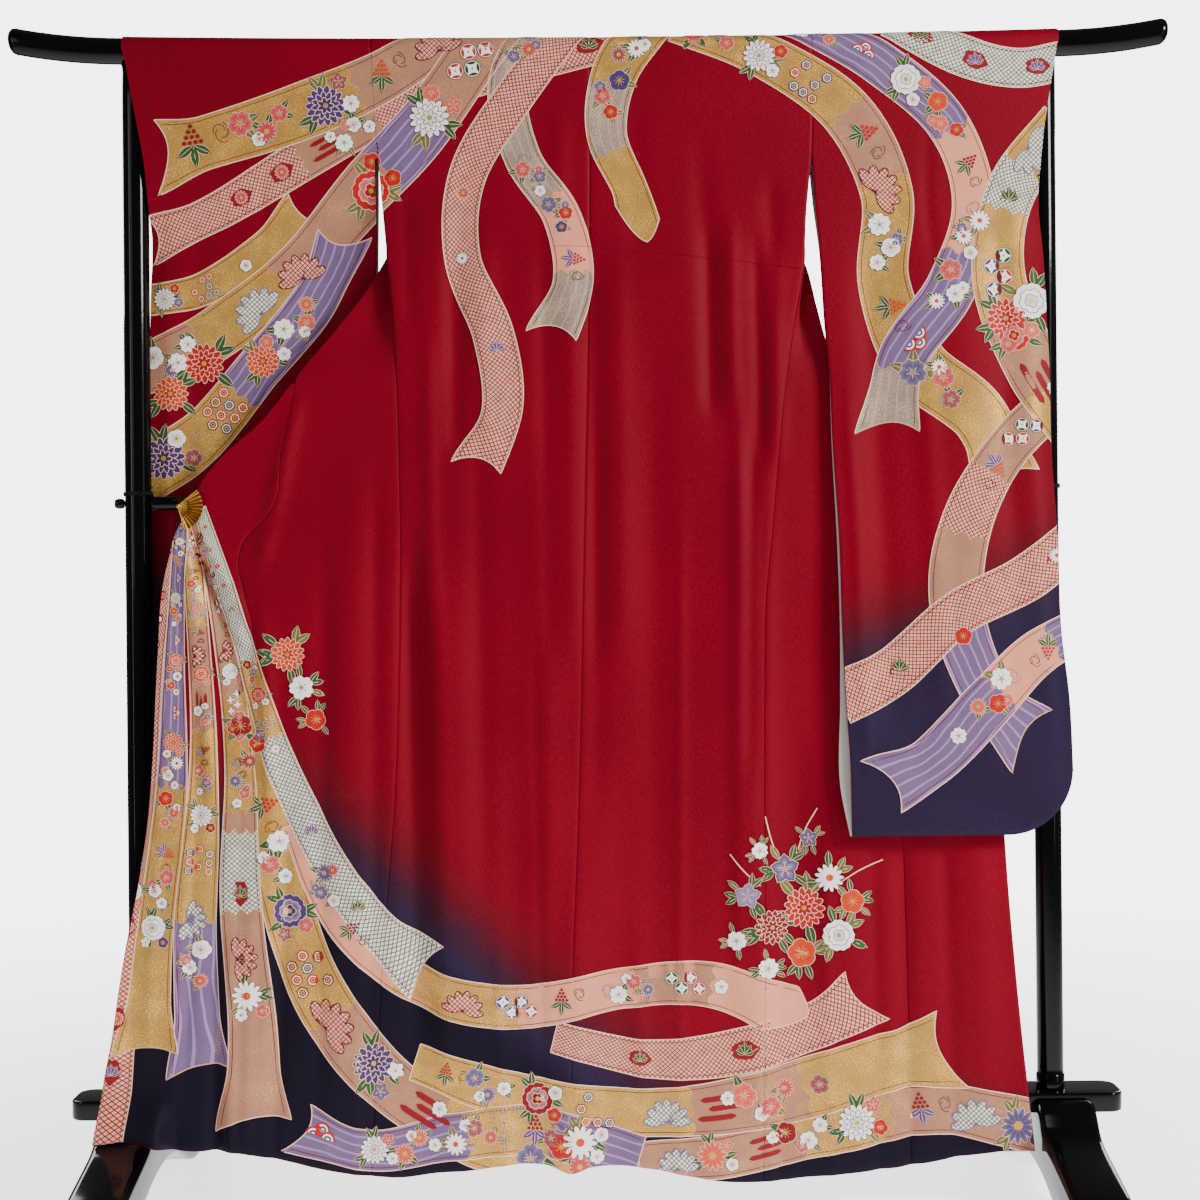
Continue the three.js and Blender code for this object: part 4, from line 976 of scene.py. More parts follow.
def spline(points, spacing=4.0):
    """A smooth line through a few points, in even steps."""
    points = np.asarray(points, float)
    ends = np.concatenate([[2 * points[0] - points[1]], points, [2 * points[-1] - points[-2]]])
    t = np.linspace(0, 1, 40)[:-1, None]
    route = []
    for p0, p1, p2, p3 in zip(ends, ends[1:], ends[2:], ends[3:]):
        route.append(0.5 * (2 * p1 + (p2 - p0) * t + (2 * p0 - 5 * p1 + 4 * p2 - p3) * t**2
                            + (3 * p1 - p0 - 3 * p2 + p3) * t**3))
    route = np.concatenate(route + [points[-1:]])
    length = np.concatenate([[0], np.cumsum(np.linalg.norm(np.diff(route, axis=0), axis=1))])
    even = np.linspace(0, length[-1], max(3, int(length[-1] / spacing)))
    return np.stack([np.interp(even, length, route[:, i]) for i in (0, 1)], 1), even


LEVEL_LIFT = 0.16
BAND_LIFT = 0.42
OUTLINE_WIDTH = 1.5
MOTIF_LIFT = 1.25
FAR_OFF = 1000
STITCH_SHARE = 0.84

# The dyed bands of each side: finish, order, widths at both ends, how each end is cut (0 square,
# 1 a slanted hollow, 2 a point), the route, and patches of other finishes as shares of its length.
BANDS = {
    "upper": [
        ("dots_on_red", 0, 60, 72, (1, 0), [(-652, 1402), (-540, 1446), (-400, 1524), (-262, 1596),
         (-120, 1648), (40, 1690)], [("mauve_band", 0.34, 0.52)]),
        ("gold_band", 1, 96, 84, (1, 0), [(-640, 1520), (-540, 1546), (-420, 1584), (-290, 1640),
         (-180, 1716)], [("mauve_band", 0.62, 1.0)]),
        ("mauve_band", 2, 84, 96, (0, 0), [(-660, 1216), (-560, 1262), (-440, 1352), (-330, 1466),
         (-236, 1566), (-130, 1716)], [("gold_band", 0.12, 0.34), ("lavender_band", 0.62, 0.78)]),
        ("lavender_band", 3, 96, 66, (0, 1), [(-660, 1062), (-570, 1120), (-484, 1220), (-404, 1318),
         (-352, 1424)], [("gold_band", 0.0, 0.4)]),
        ("gold_band", 0, 54, 70, (0, 1), [(-660, 1318), (-570, 1334), (-476, 1386), (-398, 1452)]),
        ("silver_band", 2, 66, 62, (0, 1), [(-70, 1716), (-116, 1620), (-96, 1516), (-40, 1430), (-24, 1336),
         (-60, 1250)], [("pink_band", 0.55, 0.8)]),
        ("dots_on_red", 3, 62, 66, (0, 1), [(-20, 1716), (-110, 1600), (-176, 1490), (-184, 1370),
         (-140, 1260), (-128, 1150), (-170, 1060)]),
        ("gold_band", 2, 78, 58, (0, 2), [(92, 1716), (40, 1640), (26, 1550), (60, 1466), (76, 1390)],
         [("silver_band", 0.3, 0.62)]),
        ("gold_band", 0, 78, 98, (0, 1), [(130, 1716), (250, 1664), (372, 1580), (430, 1460), (424, 1330),
         (470, 1210), (560, 1130), (600, 1020)], [("mauve_band", 0.3, 0.44)]),
        ("lavender_band", 1, 66, 84, (0, 1), [(300, 1716), (420, 1650), (520, 1560), (556, 1440), (520, 1320),
         (450, 1220), (424, 1100)], [("pink_band", 0.36, 0.62), ("silver_band", 0.86, 1.0)]),
        ("dots_on_grey", 2, 66, 70, (0, 0), [(440, 1716), (540, 1660), (620, 1640), (690, 1650)]),
        ("gold_band", 3, 84, 96, (0, 0), [(690, 1560), (610, 1460), (590, 1330), (640, 1200), (700, 1110)],
         [("dots_on_grey", 0.16, 0.32), ("mauve_band", 0.6, 0.86)]),
        ("mauve_band", 2, 74, 92, (0, 1), [(700, 1180), (600, 1090), (536, 980), (520, 860), (560, 740),
         (634, 660)], [("dots_on_red", 0.28, 0.46), ("lavender_band", 0.66, 1.0)]),
        ("dots_on_red", 3, 70, 84, (0, 0), [(700, 960), (620, 900), (520, 850), (430, 770), (350, 730)]),
        ("lavender_band", 3, 74, 84, (0, 1), [(704, 830), (630, 790), (560, 720), (480, 640), (400, 600)],
         [("pink_band", 0.12, 0.42)]),
    ],
    "skirt": [
        ("dots_on_red", 0, 20, 72, (0, 0), [(-600, 1012), (-628, 820), (-646, 640), (-668, 430), (-690, 250),
         (-702, 90)], [("mauve_band", 0.42, 0.6)]),
        ("lavender_band", 1, 18, 80, (0, 1), [(-592, 1012), (-602, 800), (-608, 600), (-632, 400),
         (-646, 222)], [("gold_band", 0.5, 1.0)]),
        ("gold_band", 0, 18, 84, (0, 1), [(-584, 1012), (-566, 800), (-562, 600), (-574, 400), (-566, 196)],
         [("mauve_band", 0.2, 0.4), ("lavender_band", 0.72, 1.0)]),
        ("mauve_band", 2, 20, 92, (0, 1), [(-576, 1014), (-532, 830), (-510, 640), (-508, 450), (-492, 270),
         (-490, 120)], [("gold_band", 0.3, 0.5), ("dots_on_grey", 0.52, 0.66)]),
        ("dots_on_grey", 3, 20, 78, (0, 1), [(-566, 1012), (-508, 830), (-456, 660), (-392, 520), (-318, 412),
         (-236, 338)], [("gold_band", 0.3, 0.46)]),
        ("gold_band", 0, 76, 110, (0, 0), [(-502, 720), (-462, 520), (-404, 330), (-300, 190), (-170, 112),
         (-20, 76), (120, 40)], [("mauve_band", 0.44, 0.66)]),
        ("pink_band", 1, 62, 74, (0, 2), [(-424, 560), (-366, 424), (-262, 330), (-120, 292), (40, 318),
         (170, 322), (300, 268)], [("gold_band", 0.3, 0.52), ("mauve_band", 0.7, 0.84)]),
        ("gold_band", 2, 64, 106, (0, 1), [(-260, 216), (-90, 160), (90, 142), (260, 164), (400, 206),
         (520, 232)], [("mauve_band", 0.5, 0.72)]),
        ("dots_on_red", 0, 54, 84, (0, 1), [(-60, 250), (70, 218), (190, 226), (310, 262), (396, 312)]),
        ("mauve_band", 1, 70, 92, (0, 0), [(60, 70), (200, 84), (350, 122), (490, 144), (650, 112)],
         [("gold_band", 0.38, 0.62)]),
        ("lavender_band", 3, 66, 84, (1, 0), [(-440, 128), (-320, 92), (-200, 112), (-80, 116), (60, 76)],
         [("gold_band", 0.5, 0.76)]),
    ],
    "far": [
        ("gold_band", 0, 84, 96, (0, 1), [(-668, 1520), (-540, 1560), (-400, 1620), (-260, 1600),
         (-180, 1500), (-250, 1420)], [("mauve_band", 0.3, 0.5)]),
        ("dots_on_red", 1, 64, 70, (0, 1), [(-660, 1380), (-520, 1420), (-420, 1500), (-300, 1540),
         (-210, 1640)]),
        ("lavender_band", 1, 66, 84, (0, 1), [(-330, 1260), (-420, 1120), (-470, 960), (-540, 820),
         (-600, 700)], [("pink_band", 0.4, 0.6)]),
        ("gold_band", 0, 70, 96, (0, 1), [(-390, 1290), (-520, 1100), (-560, 900), (-520, 720), (-430, 620)],
         [("mauve_band", 0.5, 0.7)]),
        ("gold_band", 0, 76, 96, (0, 1), [(120, 1716), (220, 1640), (360, 1590), (500, 1480), (560, 1300),
         (560, 1100), (480, 900)], [("mauve_band", 0.4, 0.56)]),
        ("mauve_band", 1, 66, 78, (0, 1), [(330, 1690), (480, 1640), (620, 1560), (600, 1420), (640, 1240),
         (620, 1060)], [("gold_band", 0.5, 0.7)]),
        ("dots_on_red", 2, 60, 72, (0, 1), [(680, 960), (640, 820), (560, 700), (460, 620)]),
    ],
}


class Band:
    """A band along a smooth route, flared and cut at its ends, with patches of other finishes on it."""

    def __init__(self, on, kind, order, first, last, ends, points, patches=()):
        self.on, self.kind, self.order, self.ends, self.patches = on, kind, order, ends, patches
        self.route, self.along = spline(points)
        self.length = self.along[-1]
        width = lerp(first, last, self.along / self.length)
        near_end = np.minimum(self.along + FAR_OFF * (ends[0] == 0),
                              self.length - self.along + FAR_OFF * (ends[1] == 0))
        flare = 0.86 + 0.3 * smooth(90, 0, near_end) + 0.05 * np.sin(self.along / 61 + order * 2 + first)
        self.half = width / 2 * flare
        way = unit(np.gradient(self.route, axis=0))
        self.side = np.stack([-way[:, 1], way[:, 0]], 1)

    def width_at(self, along):
        return np.interp(along, self.along, self.half)

    def place(self, along, share):
        """x and height at a distance along the band and a share of its half width."""
        along = np.asarray(along, float)
        centre = [np.interp(along, self.along, self.route[:, i]) for i in (0, 1)]
        side = [np.interp(along, self.along, self.side[:, i]) for i in (0, 1)]
        return np.stack([centre[i] + side[i] * self.width_at(along) * share for i in (0, 1)], -1)

    def cut(self, style, share):
        """How far an end is cut back at a share of the width."""
        if style == "cloud":
            return 9 * np.abs(np.sin(math.pi * 1.5 * (share + 1)))
        width = 2 * self.half.mean()
        slanted = 0.30 * width * (share + 1) / 2 + 0.26 * width * (1 - share**2)
        return {0: share * 0, 1: slanted, 2: 0.75 * width * np.abs(share - 0.25) ** 1.4}[style]

    def stretch(self, stencil, kind, first, last, ends, lift, outlined):
        """A length of the band in one finish."""
        columns = np.linspace(-1, 1, max(7, int(self.half.max() * 2 / 4.6)))
        count = max(3, int((last - first) / 4.6))
        rows = np.linspace(0, 1, count)[:, None]
        along = lerp(first + self.cut(ends[0], columns), last - self.cut(ends[1], columns), rows)
        points = self.place(along, np.broadcast_to(columns, along.shape))
        uv = np.stack([along, columns * self.half.mean() * np.ones_like(along)], -1)
        ids = np.arange(along.size).reshape(along.shape)
        stencil.add(self.on, kind, points.reshape(-1, 2), quads(ids), lift, uv.reshape(-1, 2))
        if outlined:
            edge = np.concatenate([points[:, -1], points[-1, ::-1][1:], points[::-1, 0][1:], points[0][1:]])
            stencil.line(self.on, edge, OUTLINE_WIDTH, lift + LAYER, CREAM)
            for side in (-STITCH_SHARE, STITCH_SHARE):
                start, finish = first + self.cut(ends[0], side) + 5, last - self.cut(ends[1], side) - 5
                inner = self.place(lerp(start, finish, rows[:, 0]), np.full(count, side))
                stencil.line(self.on, inner, 1.0, lift + 0.06, WINE)
        else:
            for end in (points[0], points[-1]):
                stencil.line(self.on, end, 0.9, lift + LAYER, GOLD)

    def lay(self, stencil):
        lift = BAND_LIFT + self.order * LEVEL_LIFT
        self.stretch(stencil, self.kind, 0, self.length, self.ends, lift, True)
        for kind, first, last in self.patches:
            ends = [self.ends[0] if first == 0 else "cloud", self.ends[1] if last == 1 else "cloud"]
            self.stretch(stencil, kind, first * self.length, last * self.length, ends, lift + 0.035, False)

    def kind_at(self, along):
        for kind, first, last in self.patches:
            if first * self.length < along < last * self.length:
                return kind
        return self.kind

    def holds(self, point, reach):
        near = np.linalg.norm(self.route - point, axis=1)
        i = int(np.argmin(near))
        return near[i] < self.half[i] + reach


# ---------------------------------------------------------------- flowers and leaves
RED = (0.46, 0.010, 0.010)
CRIMSON = (0.21, 0.006, 0.012)
WHITE = (0.87, 0.85, 0.79)
CREAM = (0.82, 0.50, 0.36)
PURPLE = (0.060, 0.032, 0.125)
LILAC = (0.17, 0.11, 0.25)
GREEN = (0.018, 0.052, 0.014)
MOSS = (0.085, 0.085, 0.022)
GOLD = (0.55, 0.29, 0.060)
ORANGE = (0.58, 0.045, 0.010)
WINE = (0.10, 0.006, 0.010)
LEAF_COLOURS = [GREEN, GREEN, MOSS]
PETAL_LEVEL = 0.16
LAYER = 0.07


def outline_of(colour):
    """Strong colours are outlined in cream, pale ones in wine."""
    return CREAM if colour in (RED, CRIMSON, PURPLE, ORANGE, LILAC) else WINE


def paler(colour, share):
    return tuple(lerp(np.array(colour), np.array(WHITE), share))


def turned(points, angle, centre):
    c, s = math.cos(angle), math.sin(angle)
    points = np.asarray(points, float)
    return np.stack([points[:, 0] * c - points[:, 1] * s, points[:, 0] * s + points[:, 1] * c], 1) + centre


def rings_for(size):
    return 1 if size < 11 else 2 if size < 22 else 3


class Spot:
    """A place on one side of the cloth, and an angle, where a motif is drawn."""

    def __init__(self, stencil, on, centre, angle=0.0):
        self.stencil, self.on, self.centre, self.angle = stencil, on, np.asarray(centre, float), angle

    def at(self, x, y, angle=0.0):
        """Another place, measured from this one."""
        return Spot(self.stencil, self.on, turned([(x, y)], self.angle, self.centre)[0], self.angle + angle)

    def fan(self, outline, heart, lift, inner, outer=None, rings=1, kind="painted"):
        """A filled outline; heart is the middle of its rings."""
        outline, heart = (turned(points, self.angle, self.centre) for points in (outline, [heart]))
        self.stencil.fan(self.on, kind, outline, heart[0], lift, inner, outer or inner, rings)

    def disc(self, radius, lift, colour, kind="painted", corners=10):
        Spot(self.stencil, self.on, self.centre).fan(circle(radius, corners), (0, 0), lift, colour, kind=kind)

    def line(self, route, width, lift, colour):
        self.stencil.line(self.on, turned(route, self.angle, self.centre), width, lift, colour)


def petal(length, width, notch=0.0, point=0.0, base=0.0):
    """Outline of a petal along +Y from its base, with a notched or a pointed tip."""
    outline = [(0, base)]
    for degrees in (-28, 5, 38, 65, 90, 115, 142, 175, 208):
        a = math.radians(degrees)
        reach = 0.42 * length * math.sin(a) + length * (point - notch) * (degrees == 90)
        outline.append((width / 2 * math.cos(a), 0.58 * length + reach))
    return outline


def bloom(spot, radius, rows, lift, colour):
    """A flower of rows of petals: (count, reach, width, notch, point, inner colour, outer colour)."""
    edge, rim = outline_of(colour), max(0.55, radius * 0.035)
    for number, (count, reach, width, notch, point, inner, outer) in enumerate(rows):
        length = radius * reach
        across = width * length
        rings = rings_for(length)
        for i in range(count):
            one = spot.at(0, 0, 2 * math.pi * (i + 0.5 * (number % 2)) / count)
            level = lift + number * PETAL_LEVEL + (i % 2) * LAYER / 2
            one.fan(petal(length, across, notch, point), (0, length * 0.45), level, edge, rings=rings)
            fill = petal(length - rim, max(across - 2 * rim, 1.2), notch, point, max(rim, length * 0.08))
            one.fan(fill, (0, length * 0.4), level + LAYER, inner, outer, rings)
    spot.disc(radius * 0.13, lift + len(rows) * PETAL_LEVEL + 0.1, GOLD, "gold_thread", 8)


def stamens(spot, radius, count, lift, colour):
    for i in range(count):
        one = spot.at(0, 0, 2 * math.pi * i / count)
        one.line([(0, radius * 0.13), (0, radius * 0.46)], max(0.6, radius * 0.04), lift + 0.3, colour)


def cherry(spot, radius, colour, lift):
    bloom(spot, radius, [(5, 1.0, 0.94, 0.14, 0, colour, paler(colour, 0.12))], lift, colour)
    stamens(spot, radius, 5, lift, outline_of(colour))


def plum(spot, radius, colour, lift):
    bloom(spot, radius, [(5, 0.96, 1.1, 0, 0, shade(colour, 0.75), colour)], lift, colour)
    stamens(spot, radius, 9, lift, RED if colour == WHITE else GOLD)


def chrysanthemum(spot, radius, colour, lift):
    bloom(spot, radius, [(15, 1.0, 0.38, 0, 0, shade(colour, 0.7), colour),
                         (12, 0.7, 0.42, 0, 0, shade(colour, 0.8), colour),
                         (7, 0.42, 0.6, 0, 0, shade(colour, 0.6), shade(colour, 0.8))], lift, colour)


def daisy(spot, radius, colour, lift):
    """An open chrysanthemum with long petals and a large heart."""
    bloom(spot, radius, [(13, 1.0, 0.36, 0, 0, colour, paler(colour, 0.1))], lift, colour)
    spot.disc(radius * 0.24, lift + 0.32, ORANGE if colour == WHITE else GOLD)


def peony(spot, radius, colour, lift):
    bloom(spot, radius, [(7, 1.0, 0.92, 0.07, 0, shade(colour, 0.8), colour),
                         (5, 0.68, 1.0, 0.09, 0, colour, paler(colour, 0.18)),
                         (4, 0.38, 1.05, 0.05, 0, shade(colour, 0.6), shade(colour, 0.85))], lift, colour)


def bellflower(spot, radius, colour, lift):
    bloom(spot, radius, [(5, 0.9, 0.88, 0, 0.14, paler(colour, 0.2), colour)], lift, colour)
    stamens(spot, radius, 5, lift, CREAM)


def leaf(spot, length, width, colour, lift):
    shape = [(width / 2 * math.sin(math.pi * t) ** 0.9, length * t) for t in np.linspace(0, 1, 6)]
    shape += [(-x, y) for x, y in shape[-2:0:-1]]
    rim = [(x * 1.16, y * 1.03 - length * 0.015) for x, y in shape]
    rings = rings_for(length / 2)
    spot.fan(rim, (0, length / 2), lift, CREAM, rings=rings)
    spot.fan(shape, (0, length / 2), lift + 0.06, shade(colour, 2.2), colour, rings)
    spot.line([(0, length * share) for share in (0.06, 0.5, 0.9)], 0.6, lift + 0.12, CREAM)


def leaves(spot, size, colour, lift, count=3, spread=42):
    for i in range(count):
        off = i - (count - 1) / 2
        leaf(spot.at(0, 0, math.radians(spread) * off), size * (1 - 0.1 * abs(off)), size * 0.36, colour,
             lift - 0.02 * i)


def shell_fan(spot, radius, kind, lift):
    """Half a large flower in small tied dots, each petal outlined."""
    edge = shade(LILAC, 0.8) if kind == "dots_on_grey" else WINE
    for i in range(7):
        one = spot.at(0, 0, math.radians(lerp(-84, 84, i / 6)))
        level = lift + (i % 2) * 0.05
        fill = petal(radius - 1.6, radius * 0.42 - 3.0, base=3)
        one.fan(petal(radius, radius * 0.42), (0, radius * 0.5), level, edge, rings=3)
        one.fan(fill, (0, radius * 0.5), level + LAYER, WHITE, rings=3, kind=kind)


def hexagon_ring(spot, radius, lift, colour):
    for scale, tone, kind in ((1.0, colour, "painted"), (0.78, WHITE, "painted"), (0.62, colour, "painted"),
                              (0.40, GOLD, "gold_thread")):
        spot.fan(circle(radius * scale, 6), (0, 0), lift + 0.3 - 0.28 * scale, tone, kind=kind)
    spot.disc(radius * 0.16, lift + 0.28, colour, corners=6)


def seven_treasures(spot, radius, lift, colour):
    """A circle of four lenses round a star."""
    spot.disc(radius * 1.08, lift - 0.03, WINE, corners=20)
    spot.disc(radius, lift, WHITE, corners=20)
    lens = [(0.62 * radius * t, 0.2 * radius * (1 - t * t) * side)
            for side in (1, -1) for t in np.linspace(-side, side, 7)[:-1]]
    for i in range(4):
        spot.at(0, 0, math.pi / 2 * i).at(0, radius * 0.72).fan(lens, (0, 0), lift + LAYER, colour)
    spot.disc(radius * 0.16, lift + 0.1, GOLD, "gold_thread", 6)


def mist(stencil, band, at, length, lift, colour):
    """Level bars of mist with round ends, one over the other."""
    for row, (start, finish) in enumerate(((0.0, 0.8), (0.25, 1.0), (0.1, 0.62))):
        count = max(4, int(length * (finish - start) / 5))
        along = np.linspace(at + start * length, at + finish * length, count)
        ends = np.minimum(along - along[0], along[-1] - along)
        width = float(band.width_at(at)) * 0.22 * np.sqrt(np.clip(ends / 5, 0.05, 1))
        stencil.line(band.on, band.place(along, np.full(len(along), (row - 1) * 0.36)), width, lift, colour)


def wave_crests(spot, radius, lift):
    """Three wave crests of nested arcs."""
    for x, y, down in ((-1, 0, 0), (1, 0, 0), (0, 0.9, 0.06)):
        for scale, colour in ((1.0, RED), (0.74, WHITE), (0.5, PURPLE), (0.26, WHITE)):
            arc = [(x * radius + radius * scale * math.cos(a), y * radius + radius * scale * math.sin(a))
                   for a in np.linspace(0, math.pi, 11)]
            spot.fan(arc, (x * radius, y * radius + radius * 0.1), lift + 0.25 - 0.1 * scale - down, colour)


def curls(spot, radius, lift, colour):
    """Loose tendrils."""
    for i in range(3):
        start = spot.angle + 2.1 * i
        spiral = [(radius * (0.9 - 0.1 * t) * math.cos(start + 0.9 * t) * (0.35 + 0.2 * t),
                   radius * (0.35 + 0.16 * t) * math.sin(start + 0.9 * t)) for t in np.linspace(0, 3.2, 9)]
        spot.line(spiral, 0.8, lift, colour)


def berries(spot, radius, lift, dice, colour):
    """A pointed cluster of small berries over three leaves."""
    leaves(spot.at(0, 0, math.pi), radius * 1.05, dice.choice([GREEN, PURPLE]), lift, 3, 58)
    for row in range(4):
        for i in range(4 - row):
            berry = spot.at((i - (3 - row) / 2) * radius * 0.27, radius * (0.15 + 0.26 * row))
            berry.disc(radius * 0.11, lift + 0.2, colour, corners=7)


FLOWER_COLOURS = {
    "gold_band": [RED, WHITE, PURPLE, CRIMSON, RED, WHITE],
    "mauve_band": [WHITE, RED, PURPLE, ORANGE, WHITE],
    "lavender_band": [WHITE, RED, WHITE, ORANGE],
    "pink_band": [PURPLE, RED, WHITE],
    "silver_band": [WHITE, RED, PURPLE],
}
GROUPS = {
    "gold_band": ["blossoms", "bouquet", "hexagons", "plain", "fan", "treasures", "blossoms", "berries"],
    "mauve_band": ["bouquet", "mist", "blossoms", "treasures", "berries", "fan"],
    "lavender_band": ["bouquet", "blossoms", "waves", "plain"],
    "pink_band": ["berries", "curls", "blossoms"],
    "silver_band": ["curls", "blossoms", "plain"],
}
# Length of each group of motifs, in half widths of its band.
GROUP_LENGTHS = {
    "blossoms": 2.3, "bouquet": 1.9, "hexagons": 1.8, "fan": 2.0, "treasures": 2.0, "mist": 1.6, "waves": 1.3,
    "berries": 2.0,
}


def blossoms(spot, size, colours, dice):
    """A spray of small blossoms with leaves."""
    share = dice.choice([-0.3, 0.3])
    for step, across, scale in ((0, share, 0.5), (0.85, -share * 0.9, 0.42), (1.5, share * 0.7, 0.36),
                                (0.5, -share * 1.5, 0.3)):
        place = spot(step, across, dice.uniform(0, 6))
        leaves(place, size * scale * 1.75, dice.choice(LEAF_COLOURS), MOTIF_LIFT - 0.3, 2, 70)
        dice.choice([cherry, plum, cherry, daisy])(place, size * scale, dice.choice(colours), MOTIF_LIFT)


def bouquet(spot, size, colours, dice):
    """One large flower with leaves round it and two small ones."""
    place = spot(0.5, dice.uniform(-0.15, 0.15), 0)
    for i in range(3):
        around = place.at(0, 0, 2.1 * i + dice.uniform(0, 0.8)).at(0, size * 0.5)
        leaves(around, size * 0.75, dice.choice(LEAF_COLOURS), MOTIF_LIFT - 0.3, 2, 46)
    dice.choice([chrysanthemum, peony, chrysanthemum, daisy])(
        place.at(0, 0, dice.uniform(0, 6)), size * 0.74, dice.choice(colours), MOTIF_LIFT + 0.1)
    for step, share in ((1.25, 0.5), (1.35, -0.42)):
        dice.choice([cherry, bellflower, plum])(
            spot(step, share, dice.uniform(0, 6)), size * 0.34, dice.choice(colours), MOTIF_LIFT + 0.3)


def decorate(stencil, band, bands, dice):
    """Groups of motifs along a band, left out where a later band covers them."""
    above = [b for b in bands if b.on == band.on and b.order > band.order]
    turn = dice.randrange(8)
    at = dice.uniform(12, 40)
    stop = band.length - (1.6 if band.ends[1] else 0.4) * 2 * band.half[-1]

    def spot(step, share=0.0, angle=None, more=0.0):
        """A place some half widths further along the band, turned with the band or to an angle."""
        way = band.place(at + 1, 0) - band.place(at, 0)
        along = math.atan2(way[1], way[0]) + more
        return Spot(stencil, band.on, band.place(at + size * step, share), along if angle is None else angle)

    while at < stop:
        size = float(band.width_at(at))
        if any(b.holds(band.place(at + size * share, 0), -size * 0.2) for b in above for share in (0.3, 1.2)):
            at += size * 0.6
            continue
        kind = band.kind_at(at + size * 0.6)
        if kind.startswith("dots"):
            if dice.random() < 0.55:
                patch = [(size * 0.62 * math.cos(a) * (1 + 0.13 * math.cos(5 * a)), size * 0.42 * math.sin(a))
                         for a in np.linspace(0, 2 * math.pi, 21)[:-1]]
                spot(0.8).fan(patch, (0, 0), MOTIF_LIFT - 0.45, CRIMSON, rings=2)
                heart = spot(0.8, angle=0)
                if dice.random() < 0.5:
                    leaves(heart.at(0, -size * 0.2), size * 0.6, dice.choice([GREEN, PURPLE]),
                           MOTIF_LIFT - 0.3, 5, 32)
                else:
                    daisy(heart, size * 0.38, dice.choice([RED, WHITE]), MOTIF_LIFT)
            at += size * dice.uniform(2.4, 3.6)
            continue
        colours = FLOWER_COLOURS[kind]
        whole = at + size * 1.9 < stop + size
        group = GROUPS[kind][turn % len(GROUPS[kind])] if whole else "small"
        turn += 1
        if group == "blossoms":
            blossoms(spot, size, colours, dice)
        elif group == "bouquet":
            bouquet(spot, size, colours, dice)
        elif group == "hexagons":
            for row in (-1, 0, 1):
                for column in range(3):
                    if dice.random() < 0.8:
                        place = spot(0.3 + 0.5 * column + 0.25 * (row % 2), row * 0.52)
                        hexagon_ring(place, size * 0.24, MOTIF_LIFT, dice.choice([RED, CRIMSON, PURPLE]))
        elif group == "fan":
            shell_fan(spot(0.9, -0.45, more=dice.uniform(-0.4, 0.4)), size * 1.05,
                      dice.choice(["dots_on_grey", "dots_on_grey", "dots_on_red"]), MOTIF_LIFT - 0.2)
        elif group == "treasures":
            for column in range(4):
                place = spot(0.35 + 0.44 * column, 0.24 * (-1) ** column, more=0.78)
                seven_treasures(place, size * 0.3, MOTIF_LIFT, dice.choice([RED, PURPLE, GREEN]))
        elif group == "mist":
            mist(stencil, band, at, size * 1.9, MOTIF_LIFT - 0.2, CRIMSON)
            cherry(spot(1.3, 0.3), size * 0.32, WHITE, MOTIF_LIFT)
        elif group == "waves":
            wave_crests(spot(0.8), size * 0.3, MOTIF_LIFT - 0.1)
        elif group == "berries":
            berries(spot(0.8, more=dice.uniform(-0.5, 0.5)), size * 0.62, MOTIF_LIFT, dice,
                    dice.choice([RED, ORANGE, CRIMSON]))
            curls(spot(1.7, 0.2), size * 0.4, MOTIF_LIFT, WINE)
        elif group == "small":
            dice.choice([cherry, plum, daisy])(spot(0.3), size * 0.36, dice.choice(colours), MOTIF_LIFT)
        elif group == "curls":
            curls(spot(0.8), size * 0.5, MOTIF_LIFT, LILAC)
        at += size * (GROUP_LENGTHS.get(group, 1.0) + dice.uniform(0.05, 0.4))


# Loose clusters of flowers beside the bands, on each side: x, height, radius, flower, colour.
CLUSTERS = {
    "skirt": [
        (300, 430, 30, chrysanthemum, RED), (252, 404, 25, chrysanthemum, CRIMSON), (348, 392, 24, peony, WHITE),
        (272, 486, 22, bellflower, PURPLE), (336, 474, 21, daisy, WHITE), (218, 450, 19, bellflower, LILAC),
        (368, 440, 18, plum, ORANGE), (296, 366, 22, plum, ORANGE), (202, 386, 15, cherry, WHITE),
        (246, 346, 16, cherry, WHITE), (308, 530, 14, bellflower, PURPLE), (236, 514, 13, cherry, WHITE),
        (-440, 800, 25, chrysanthemum, ORANGE), (-420, 752, 19, cherry, WHITE), (-400, 706, 16, plum, RED),
    ],
    "upper": [
        (-566, 1226, 30, chrysanthemum, RED), (-616, 1182, 26, chrysanthemum, ORANGE),
        (636, 1300, 28, peony, WHITE), (610, 1250, 24, peony, RED),
    ],
    "far": [(-300, 1500, 26, chrysanthemum, RED), (480, 1180, 26, peony, RED)],
}
# Blades of grass: x and height of the foot, angle and length.
BLADES = [(266, 494, 0.5, 70), (292, 514, -0.25, 64), (346, 464, -0.9, 74), (236, 464, 0.95, 60)]


def clusters(stencil, dice):
    for on, x, h, radius, flower, colour in [(on, *row) for on, rows in CLUSTERS.items() for row in rows]:
        for turn in range(4):
            base = Spot(stencil, on, (x, h), dice.uniform(0, 1.2) + turn * 1.6).at(0, radius * 0.7)
            leaves(base, radius * 1.15, dice.choice([GREEN, MOSS, GREEN]), MOTIF_LIFT - 0.25, 1 + turn % 2, 46)
        flower(Spot(stencil, on, (x, h), dice.uniform(0, 6)), radius, colour, MOTIF_LIFT + 0.1)
    for x, h, angle, length in BLADES:
        blade = turned([(0, 0), (length * 0.06, length * 0.5), (length * 0.2, length)], angle, (x, h))
        stencil.line("skirt", spline(blade)[0], 1.6, MOTIF_LIFT - 0.3, CREAM)


# ---------------------------------------------------------------- stand
def stand_part(name, mesh, node, finish="lacquer"):
    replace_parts(new_object(name, mesh, [material(finish)]), node)


